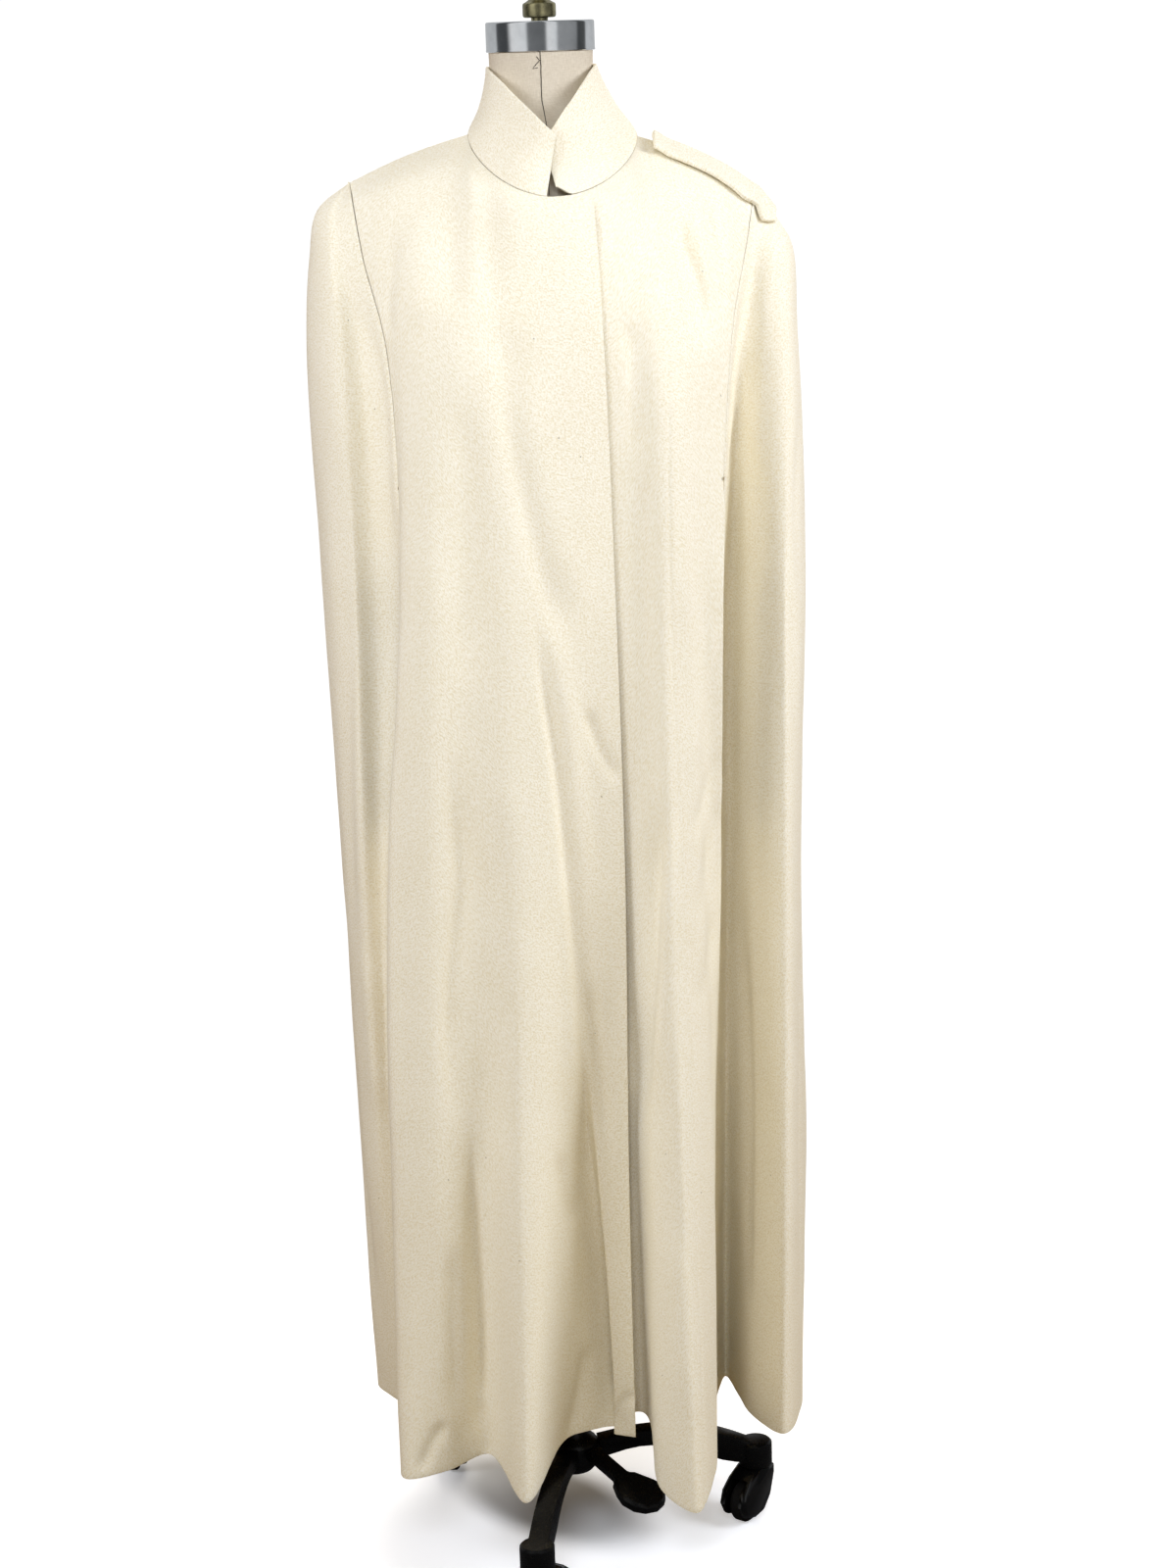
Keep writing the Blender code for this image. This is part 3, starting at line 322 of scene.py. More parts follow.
@dataclass(frozen=True)
class WoolCrepe(Finish):
    """Undyed wool crepe, woven from highly twisted yarn and pressed.

    The yarn's twist gives a matt, pebbled face with small soft lumps, a few slubs along the
    weft and now and then a dark hair caught in the yarn.
    """

    light: str = "#FCF7E7"
    dark: str = "#EBE0C0"
    hair: str = "#7A6A50"
    pebble: float = 2.0 * MM  # the real one is near 1 mm, drawn coarser so that it shows
    slub: float = 6.0 * MM
    slub_tone: float = 0.25
    slub_relief: float = 0.15
    cloud: float = 60.0 * MM
    cloud_tone: float = 0.08
    contrast: float = 0.18
    hair_gap: float = 24.0 * MM
    hair_edge: tuple[float, float] = (0.035, 0.015)  # of the gap, where a hair fades in and is full
    bare: float = 0.86  # the share of the gaps that have no hair

    def draw(self, tree: bpy.types.NodeTree, shader: bpy.types.Node) -> None:
        """Mottle the colour, scatter hairs and raise the pebbled face."""
        spot = cut_place(tree)
        pebble = speckle(tree, spot, 1.0 / self.pebble, detail=2.0, roughness=0.65)
        weft = stretched(tree, spot, (1.0 / self.slub, 1.3 / self.slub, 1.0))
        slub = speckle(tree, weft, 1.0, detail=3.0, roughness=0.6)
        cloud = speckle(tree, spot, 1.0 / self.cloud, detail=2.0)
        mixed = maths(tree, "MULTIPLY_ADD", slub, self.slub_tone, pebble)
        mixed = maths(tree, "MULTIPLY_ADD", cloud, self.cloud_tone, mixed)
        middle = 0.5 * (1.0 + self.slub_tone + self.cloud_tone)
        tone = graded(tree, mixed, middle - self.contrast, middle + self.contrast)
        colour = ramp(tree, tone, [(0.1, self.dark), (0.75, self.light)])
        cell = add_node(tree, "TexVoronoi", {"Vector": spot, "Scale": 1.0 / self.hair_gap})
        near = graded(tree, (cell, "Distance"), *self.hair_edge)
        lot = add_node(tree, "SeparateColor", {"Color": (cell, "Color")})
        haired = maths(tree, "GREATER_THAN", (lot, "Red"), self.bare)
        hair = maths(tree, "MULTIPLY", near, haired)
        face = maths(tree, "MULTIPLY_ADD", slub, self.slub_relief, pebble)
        look = {
            "Base Color": blended(tree, hair, colour, linear(self.hair)),
            "Normal": relief(tree, face, strength=0.8, depth=0.6 * MM),
            "Roughness": 0.92,
            "IOR": 1.46,
            "Specular IOR Level": 0.25,
            "Sheen Weight": 0.12,
            "Sheen Roughness": 0.6,
        }
        set_inputs(tree, shader, look)


@dataclass(frozen=True)
class TwillLining(Finish):
    """Ivory acetate twill: a smooth lining with fine diagonal ribs and a soft shine."""

    colour: str = "#EADFC8"
    shade: str = "#DFD2B8"
    rib: float = 1.6 * MM  # real ribs are near 0.4 mm, drawn coarser so that they show
    wander: float = 0.6

    def draw(self, tree: bpy.types.NodeTree, shader: bpy.types.Node) -> None:
        """Draw the diagonal ribs in colour and relief."""
        wave = {
            "Vector": cut_place(tree),
            "Scale": WAVE_LENGTH / self.rib,
            "Distortion": self.wander,
        }
        ribs = add_node(tree, "TexWave", wave, bands_direction="DIAGONAL"), "Fac"
        look = {
            "Base Color": ramp(tree, ribs, [(0.0, self.shade), (1.0, self.colour)]),
            "Normal": relief(tree, ribs, strength=0.2, depth=0.2 * MM),
            "Roughness": 0.5,
            "IOR": 1.47,
        }
        set_inputs(tree, shader, look)


@dataclass(frozen=True)
class WovenLinen(Finish):
    """Plain-woven unbleached linen, stretched over a form.

    Uneven flax yarns make a matt beige cloth with small darker and lighter threads.
    """

    light: str = "#DBD1BF"
    dark: str = "#C7BBA6"
    yarn: float = 1.1 * MM  # real yarns are near 0.5 mm, drawn coarser so that they show
    run: float = 6.0  # how many times longer than wide a yarn's light or dark stretch is

    def draw(self, tree: bpy.types.NodeTree, shader: bpy.types.Node) -> None:
        """Cross two sets of uneven yarns in colour and relief."""
        spot = cut_place(tree)
        long, wide = 1.0 / (self.run * self.yarn), 1.0 / self.yarn
        yarns = [
            speckle(tree, stretched(tree, spot, scale), 1.0, detail=2.0)
            for scale in ((long, wide, 1.0), (wide, long, 1.0))
        ]
        woven = maths(tree, "ADD", *yarns)
        tone = graded(tree, woven, 0.6, 1.4)
        look = {
            "Base Color": ramp(tree, tone, [(0.0, self.dark), (1.0, self.light)]),
            "Normal": relief(tree, woven, strength=0.4, depth=0.3 * MM),
            "Roughness": 0.9,
            "IOR": 1.45,
            "Specular IOR Level": 0.2,
        }
        set_inputs(tree, shader, look)


class Grain(Enum):
    """Which way a surface's tool marks run."""

    ROUND = (60.0, 60.0, 2600.0)  # fine rings, as from a lathe or a polishing belt
    NONE = (700.0, 700.0, 700.0)  # an even speckle, as a casting or a moulding has


@dataclass(frozen=True)
class HardFinish(Finish):
    """A metal, an enamel or a plastic: one colour broken by grain and a little soiling.

    The scales of the grain and of the soiling are in marks for each metre.
    """

    colour: str
    soiled: str
    metallic: float
    roughness: float
    uneven: float
    raised: float
    grain: Grain = Grain.NONE
    specular: float = 0.5
    soiling: float = 45.0

    def draw(self, tree: bpy.types.NodeTree, shader: bpy.types.Node) -> None:
        """Break the colour, the gloss and the surface with the same grain."""
        spot = add_node(tree, "TexCoord"), "Object"
        grain = stretched(tree, spot, self.grain.value)
        marks = speckle(tree, grain, 1.0, detail=3.0, roughness=0.6)
        soil = speckle(tree, spot, self.soiling, detail=4.0, roughness=0.6)
        gloss = (max(0.02, self.roughness - self.uneven), self.roughness + self.uneven)
        look = {
            "Base Color": ramp(tree, soil, [(0.35, self.soiled), (0.65, self.colour)]),
            "Roughness": graded(tree, marks, 0.3, 0.7, to=gloss),
            "Normal": relief(tree, marks, strength=self.raised, depth=0.3 * MM),
            "Metallic": self.metallic,
            "Specular IOR Level": self.specular,
        }
        set_inputs(tree, shader, look)


WOOL = WoolCrepe("wool crepe")
LINING = TwillLining("acetate twill lining")
LINEN = WovenLinen("unbleached linen")
STEEL = HardFinish(
    "brushed stainless steel", "#D4D6D8", "#C6C8CA", 1.0, 0.13, 0.03, 0.012, Grain.ROUND
)
BRASS = HardFinish("tarnished brass", "#B3AC84", "#7A745A", 1.0, 0.34, 0.1, 0.12)
ENAMEL = HardFinish(
    "black stove enamel on cast iron", "#0A0A0A", "#070707", 0.0, 0.30, 0.1, 0.45, specular=0.16
)
GLOSS = HardFinish(
    "black gloss enamel", "#060606", "#050505", 0.0, 0.12, 0.03, 0.04, specular=0.35
)
RUBBER = HardFinish("black rubber", "#101010", "#151413", 0.0, 0.65, 0.1, 0.3, specular=0.2)
THREAD = HardFinish("black cotton thread", "#17140F", "#2A241A", 0.0, 0.8, 0.1, 0.3)
SILK = HardFinish("buttonhole silk", "#B8A680", "#9A8760", 0.0, 0.55, 0.1, 0.2)


# ---------------------------------------------------------------- making pieces


def to_mesh(work: bmesh.types.BMesh, name: str) -> bpy.types.Mesh:
    """Turn finished bmesh work into a new mesh."""
    made = bpy.data.meshes.new(name)
    work.to_mesh(made)
    work.free()
    return made


def sheet_mesh(name: str, points: np.ndarray, cut: np.ndarray) -> bpy.types.Mesh:
    """Make one layer of cloth from a grid of points.

    Args:
        name: The mesh's name.
        points: Points with shape (rows, columns, 3), columns clockwise seen from above.
        cut: Where each point lies on the flat cloth, in metres, with shape (rows, columns, 2).

    Returns:
        A smooth mesh that faces outwards, with a UV map named cut.
    """
    rows, columns = points.shape[:2]
    work = bmesh.new()
    bmesh.ops.create_grid(work, x_segments=columns - 1, y_segments=rows - 1, size=1.0)
    bmesh.ops.reverse_faces(work, faces=work.faces)
    made = to_mesh(work, name)
    flat = np.empty(3 * len(made.vertices), np.float32)
    made.vertices.foreach_get("co", flat)
    flat = flat.reshape(-1, 3)
    column = np.rint((flat[:, 0] + 1.0) / 2.0 * (columns - 1)).astype(int)
    row = np.rint((1.0 - flat[:, 1]) / 2.0 * (rows - 1)).astype(int)
    made.vertices.foreach_set("co", points[row, column].astype(np.float32).ravel())
    corner = np.empty(len(made.loops), np.int32)
    made.loops.foreach_get("vertex_index", corner)
    layer = made.uv_layers.new(name="cut")
    layer.data.foreach_set("uv", cut[row, column][corner].astype(np.float32).ravel())
    made.shade_smooth()
    made.update()
    return made


def put(
    name: str,
    data: bpy.types.Mesh | bpy.types.Curve,
    body: str,
    finishes: Sequence[Finish],
    replaces: Sequence[str] = (),
) -> bpy.types.Object:
    """Put a piece in the scene, at the origin, riding on its body.

    Args:
        name: The piece's name.
        data: Its mesh or curve, in the frame's own place.
        body: The CAD body that it moves with.
        finishes: One finish for each material slot.
        replaces: The CAD nodes that it stands for.

    Returns:
        The piece.
    """
    piece = bpy.data.objects.new(name, data)
    for finish in finishes:
        data.materials.append(finish.make())
    bpy.context.scene.collection.objects.link(piece)
    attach(piece, body)
    if replaces:
        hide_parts(*replaces)
    return piece


def sew(
    name: str,
    points: np.ndarray,
    cut: np.ndarray,
    replaces: Sequence[str],
    thickness: float,
    edge: float,
    lined: bool = False,
) -> bpy.types.Object:
    """Make a piece of wool cloth, with its thickness inwards and its cut edges softened.

    Args:
        name: The piece's name.
        points: The points of its outer face, as a grid.
        cut: Where each point lies on the flat cloth.
        replaces: The CAD nodes that it stands for.
        thickness: Its thickness in metres.
        edge: The radius of its edges.
        lined: Whether its inner face is lining.

    Returns:
        The piece.
    """
    finishes = (WOOL, LINING) if lined else (WOOL,)
    piece = put(name, sheet_mesh(name, points, cut), "form", finishes, replaces)
    wall = piece.modifiers.new("thickness", "SOLIDIFY")
    wall.thickness = thickness
    wall.offset = -1.0
    wall.material_offset = len(finishes) - 1
    bevel = piece.modifiers.new("soft edge", "BEVEL")
    bevel.width = edge
    bevel.segments = 2
    bevel.limit_method = "ANGLE"
    bevel.angle_limit = CUT_EDGE
    return piece


def threads(
    name: str, runs: Sequence[Sequence[Sequence[float]]], thick: float, finish: Finish
) -> bpy.types.Object:
    """Lay threads on the form, each along a run of points.

    Args:
        name: The piece's name.
        runs: The points of each thread.
        thick: The thread's thickness.
        finish: What it is made of.

    Returns:
        One piece with all of them.
    """
    curve = bpy.data.curves.new(name, "CURVE")
    curve.dimensions = "3D"
    curve.bevel_depth = 0.5 * thick
    curve.bevel_resolution = 2
    curve.use_fill_caps = True
    for run in runs:
        spline = curve.splines.new("POLY")
        spline.points.add(len(run) - 1)
        for point, spot in zip(spline.points, run):
            point.co = (*spot, 1.0)
    return put(name, curve, "form", (finish,))


def spun(profile: Sequence[tuple[float, float]], at: tuple[float, float], steps: int) -> bpy.types.Mesh:
    """Turn a profile round an upright axis.

    Args:
        profile: (radius, height) from the top down. It is closed if it starts and ends at radius 0.
        at: The axis's x and y.
        steps: How many faces go round.

    Returns:
        A smooth mesh with sharp edges where the profile turns sharply.
    """
    work = bmesh.new()
    ends = [work.verts.new((radius, 0.0, height)) for radius, height in profile]
    edges = [work.edges.new(pair) for pair in zip(ends, ends[1:])]
    bmesh.ops.spin(
        work,
        geom=[*ends, *edges],
        cent=(0.0, 0.0, 0.0),
        axis=(0.0, 0.0, 1.0),
        angle=2.0 * math.pi,
        steps=steps,
        use_merge=True,
    )
    bmesh.ops.remove_doubles(work, verts=work.verts, dist=JOINED)
    bmesh.ops.recalc_face_normals(work, faces=work.faces)
    bmesh.ops.translate(work, verts=work.verts, vec=(*at, 0.0))
    made = to_mesh(work, "turned")
    made.shade_smooth()
    made.set_sharp_from_angle(angle=TURNED_EDGE)
    return made


# ---------------------------------------------------------------- the cape's lines


class Crease(NamedTuple):
    """A line down a front or back panel.

    top is its place along the top edge, 0 to 1 along the neckline and 1 to 2 along the shoulder
    seam. Then come its x and y at each level, and how far its foot hangs below the hem's level.
    """

    name: str
    top: float
    chest: tuple[float, float]
    bust: tuple[float, float]
    waist: tuple[float, float]
    hip: tuple[float, float]
    knee: tuple[float, float]
    hem: tuple[float, float]
    drop: float = 0.0


class SideCrease(NamedTuple):
    """A line down a side panel, which fans out from the shoulder point.

    fan is its place across the panel's tip, and cap its point where the cloth rounds the shoulder.
    """

    name: str
    fan: float
    cap: tuple[float, float, float]
    chest: tuple[float, float]
    bust: tuple[float, float]
    waist: tuple[float, float]
    hip: tuple[float, float]
    knee: tuple[float, float]
    hem: tuple[float, float]


LEVELS = (1.440, 1.350, 1.120, 0.800, 0.450, 0.128)

FRONT_RIGHT = (
    Crease("front edge", 0.00, (0.054, -0.125), (0.057, -0.139), (0.061, -0.140),
           (0.063, -0.125), (0.058, -0.102), (0.057, -0.086), -0.0150),
    Crease("trough", 0.20, (0.028, -0.129), (0.028, -0.142), (0.030, -0.146),
           (0.030, -0.124), (0.024, -0.100), (0.014, -0.080), -0.0185),
    Crease("step", 0.36, (-0.002, -0.129), (-0.002, -0.144), (0.000, -0.150),
           (-0.002, -0.138), (-0.008, -0.124), (-0.018, -0.090), -0.0180),
    Crease("point", 0.56, (-0.036, -0.125), (-0.040, -0.145), (-0.046, -0.155),
           (-0.052, -0.155), (-0.056, -0.163), (-0.064, -0.178), 0.0145),
    Crease("hollow", 0.80, (-0.078, -0.116), (-0.085, -0.145), (-0.090, -0.148),
           (-0.096, -0.142), (-0.100, -0.128), (-0.106, -0.104), -0.0085),
    Crease("swell", 1.00, (-0.118, -0.103), (-0.122, -0.133), (-0.128, -0.148),
           (-0.142, -0.145), (-0.148, -0.142), (-0.150, -0.122)),
    Crease("side fold", 1.60, (-0.160, -0.083), (-0.148, -0.115), (-0.157, -0.128),
           (-0.182, -0.122), (-0.195, -0.122), (-0.197, -0.131), 0.0040),
    Crease("seam", 2.00, (-0.186, -0.062), (-0.165, -0.093), (-0.158, -0.106),
           (-0.176, -0.088), (-0.184, -0.020), (-0.188, 0.030)),
)

FRONT_LEFT = (
    Crease("seam", 2.00, (0.207, -0.048), (0.188, -0.088), (0.174, -0.112),
           (0.166, -0.078), (0.156, -0.010), (0.150, 0.030)),
    Crease("return", 1.60, (0.180, -0.075), (0.170, -0.108), (0.154, -0.124),
           (0.153, -0.095), (0.152, -0.066), (0.147, -0.062), -0.0105),
    Crease("soft fold", 1.20, (0.145, -0.096), (0.142, -0.128), (0.131, -0.143),
           (0.140, -0.128), (0.147, -0.120), (0.142, -0.142), 0.0040),
    Crease("nose", 1.00, (0.118, -0.108), (0.112, -0.138), (0.110, -0.148),
           (0.112, -0.150), (0.116, -0.170), (0.121, -0.196), 0.0235),
    Crease("brow", 0.68, (0.086, -0.116), (0.086, -0.137), (0.088, -0.138),
           (0.088, -0.136), (0.086, -0.146), (0.083, -0.160), 0.0125),
    Crease("gap", 0.36, (0.0580, -0.1222), (0.0605, -0.1362), (0.0660, -0.1370),
           (0.067, -0.119), (0.068, -0.092), (0.067, -0.062), -0.0330),
    Crease("hidden edge", 0.00, (0.006, -0.112), (0.006, -0.124), (0.010, -0.122),
           (0.020, -0.100), (0.034, -0.072), (0.036, -0.056), -0.0260),
)

BACK = (
    Crease("right seam", -2.0, (-0.190, 0.066), (-0.175, 0.104), (-0.185, 0.120),
           (-0.190, 0.140), (-0.195, 0.165), (-0.200, 0.190)),
    Crease("right ridge", -1.5, (-0.152, 0.092), (-0.140, 0.124), (-0.150, 0.150),
           (-0.155, 0.180), (-0.158, 0.210), (-0.160, 0.236)),
    Crease("right hollow", -1.0, (-0.102, 0.110), (-0.100, 0.135), (-0.105, 0.146),
           (-0.110, 0.160), (-0.112, 0.180), (-0.115, 0.202)),
    Crease("mid right ridge", -0.5, (-0.050, 0.118), (-0.050, 0.141), (-0.055, 0.162),
           (-0.060, 0.194), (-0.060, 0.226), (-0.060, 0.254)),
    Crease("middle hollow", 0.0, (0.005, 0.120), (0.004, 0.142), (0.000, 0.152),
           (-0.004, 0.170), (-0.008, 0.190), (-0.010, 0.211)),
    Crease("mid left ridge", 0.5, (0.060, 0.118), (0.058, 0.140), (0.052, 0.163),
           (0.047, 0.198), (0.045, 0.230), (0.045, 0.258)),
    Crease("left hollow", 1.0, (0.112, 0.109), (0.108, 0.133), (0.102, 0.147),
           (0.097, 0.164), (0.095, 0.184), (0.095, 0.206)),
    Crease("left ridge", 1.5, (0.164, 0.088), (0.154, 0.120), (0.155, 0.148),
           (0.157, 0.184), (0.162, 0.216), (0.152, 0.240)),
    Crease("left seam", 2.0, (0.204, 0.062), (0.190, 0.100), (0.195, 0.120),
           (0.206, 0.140), (0.238, 0.160), (0.215, 0.186)),
)

SIDE_RIGHT = (
    SideCrease("valley", 0.12, (-0.212, -0.026, 1.487), (-0.208, -0.052), (-0.192, -0.072),
               (-0.186, -0.074), (-0.198, -0.052), (-0.203, -0.004), (-0.206, 0.052)),
    SideCrease("front", 0.27, (-0.220, -0.021, 1.490), (-0.222, -0.048), (-0.214, -0.076),
               (-0.212, -0.080), (-0.216, -0.058), (-0.220, 0.000), (-0.222, 0.076)),
    SideCrease("outer", 0.50, (-0.235, 0.000, 1.488), (-0.245, 0.000), (-0.2515, -0.010),
               (-0.249, -0.012), (-0.2445, 0.006), (-0.243, 0.050), (-0.241, 0.112)),
    SideCrease("back", 0.75, (-0.220, 0.022, 1.490), (-0.226, 0.046), (-0.222, 0.068),
               (-0.226, 0.074), (-0.230, 0.092), (-0.230, 0.122), (-0.228, 0.162)),
)

SIDE_LEFT = (
    SideCrease("back", 0.22, (0.229, 0.020, 1.464), (0.238, 0.042), (0.237, 0.066),
               (0.243, 0.074), (0.246, 0.090), (0.262, 0.112), (0.246, 0.132)),
    SideCrease("outer", 0.48, (0.243, 0.000, 1.464), (0.256, 0.004), (0.2605, 0.004),
               (0.2655, 0.004), (0.258, 0.012), (0.255, 0.022), (0.249, 0.020)),
    SideCrease("fold", 0.64, (0.238, -0.012, 1.463), (0.250, -0.024), (0.248, -0.048),
               (0.242, -0.069), (0.236, -0.072), (0.230, -0.069), (0.223, -0.056)),
    SideCrease("fold inside", 0.80, (0.229, -0.018, 1.460), (0.236, -0.035), (0.225, -0.052),
               (0.212, -0.052), (0.204, -0.040), (0.199, -0.022), (0.190, -0.002)),
    SideCrease("valley", 0.90, (0.222, -0.021, 1.462), (0.218, -0.036), (0.202, -0.046),
               (0.186, -0.014), (0.177, 0.004), (0.170, 0.050), (0.166, 0.104)),
)


@dataclass
class Neckline:
    """The oval on which the collar stands, and the shoulder seams that leave it.

    Its angles are in degrees from the middle front towards the left shoulder.
    """

    x: float = 0.0115
    half_width: float = 0.0875
    front: float = 0.100
    back: float = 0.070
    top: float = 1.575
    drop: float = 0.075
    power: float = 2.1
    tilt: float = 0.0035
    slope: float = 0.75  # how much the cloth there faces up, against out
    front_edge_angle: float = 27.0
    lap_angle: float = -2.0
    lap_droop: float = 0.012
    lap_forward: float = 0.010
    tuck: float = 0.0085
    tuck_angles: tuple[float, float] = (48.0, 26.0)
    right_end: tuple[float, float, float] = (-0.200, 0.0, 1.516)
    left_end: tuple[float, float, float] = (0.219, 0.0, 1.4965)
    right_bow: float = 0.004
    left_bow: float = 0.006
    tip: float = 0.0012

    def at(self, angle: float, tuck: float = 0.0) -> np.ndarray:
        """A point on the neckline. tuck is how far it lies inside the oval's front."""
        a = math.radians(angle)
        depth = self.front - tuck if math.cos(a) > 0 else self.back
        drop = self.drop * ((1.0 + math.cos(a)) / 2.0) ** self.power
        x = self.x + self.half_width * math.sin(a)
        return np.array((x, -depth * math.cos(a), self.top - drop - self.tilt * math.sin(a)))

    def facing(self, angle: float) -> np.ndarray:
        """Which way the cloth faces at the neckline."""
        a = math.radians(angle)
        return unit(np.array((math.sin(a), -math.cos(a), self.slope)))

    def tuck_at(self, angle: float) -> float:
        """How far the left front lies inside the neckline at an angle."""
        return self.tuck * float(smoothstep(*self.tuck_angles, angle))

    def shoulder(self, fraction: float, side: int, half: float = 0.0) -> np.ndarray:
        """A point on a shoulder seam.

        Args:
            fraction: 0 at the neck and 1 at the shoulder point.
            side: -1 for the right shoulder and 1 for the left one.
            half: -1 for the front panel's edge, 1 for the back one's, 0 between them.

        Returns:
            The point.
        """
        start = self.at(90.0 * side)
        end = np.array(self.right_end if side < 0 else self.left_end)
        end[1] += half * self.tip
        bow = self.right_bow if side < 0 else self.left_bow
        rise = np.array((0.0, 0.0, bow * math.sin(math.pi * fraction)))
        return start + (end - start) * fraction + rise

    def shoulder_facing(self, side: int) -> np.ndarray:
        """Which way the cloth faces along a shoulder seam."""
        along = self.shoulder(1.0, side) - self.shoulder(0.0, side)
        return unit(np.cross(along, (0.0, float(side), 0.0)))

    def right_front_top(self, t: float) -> tuple[np.ndarray, np.ndarray]:
        """The right front's top edge and which way it faces there, at its place t."""
        if t > 1.0:
            return self.shoulder(t - 1.0, -1, -1), self.shoulder_facing(-1)
        angle = self.front_edge_angle + (-90.0 - self.front_edge_angle) * t
        lap = float(smoothstep(self.lap_angle, self.front_edge_angle, angle))
        point = self.at(angle) - np.array((0.0, self.lap_forward, self.lap_droop)) * lap
        return point, self.facing(angle)

    def left_front_top(self, t: float) -> tuple[np.ndarray, np.ndarray]:
        """The left front's top edge and which way it faces there, at its place t."""
        if t > 1.0:
            return self.shoulder(t - 1.0, 1, -1), self.shoulder_facing(1)
        return self.at(90.0 * t, self.tuck_at(90.0 * t)), self.facing(90.0 * t)

    def back_top(self, t: float) -> tuple[np.ndarray, np.ndarray]:
        """The back's top edge and which way it faces there, at its place t."""
        side = -1 if t < 0 else 1
        if abs(t) > 1.0:
            return self.shoulder(abs(t) - 1.0, side, 1), self.shoulder_facing(side)
        angle = side * (180.0 - 90.0 * abs(t))
        return self.at(angle), self.facing(angle)


class Fold(NamedTuple):
    """A soft ridge or trough that is smaller than the panels' own creases.

    path runs along it as (across, height) in metres, where across is x on the front and back and
    y on the sides. low and high are how far it reaches to either side of the path, towards lower
    and higher across, and rise is how far it stands out of the cloth, or sinks if it is negative:
    all three in millimetres. A deep trough leans under its steeper side.
    """

    path: tuple[tuple[float, float], ...]
    low: float
    high: float
    rise: float


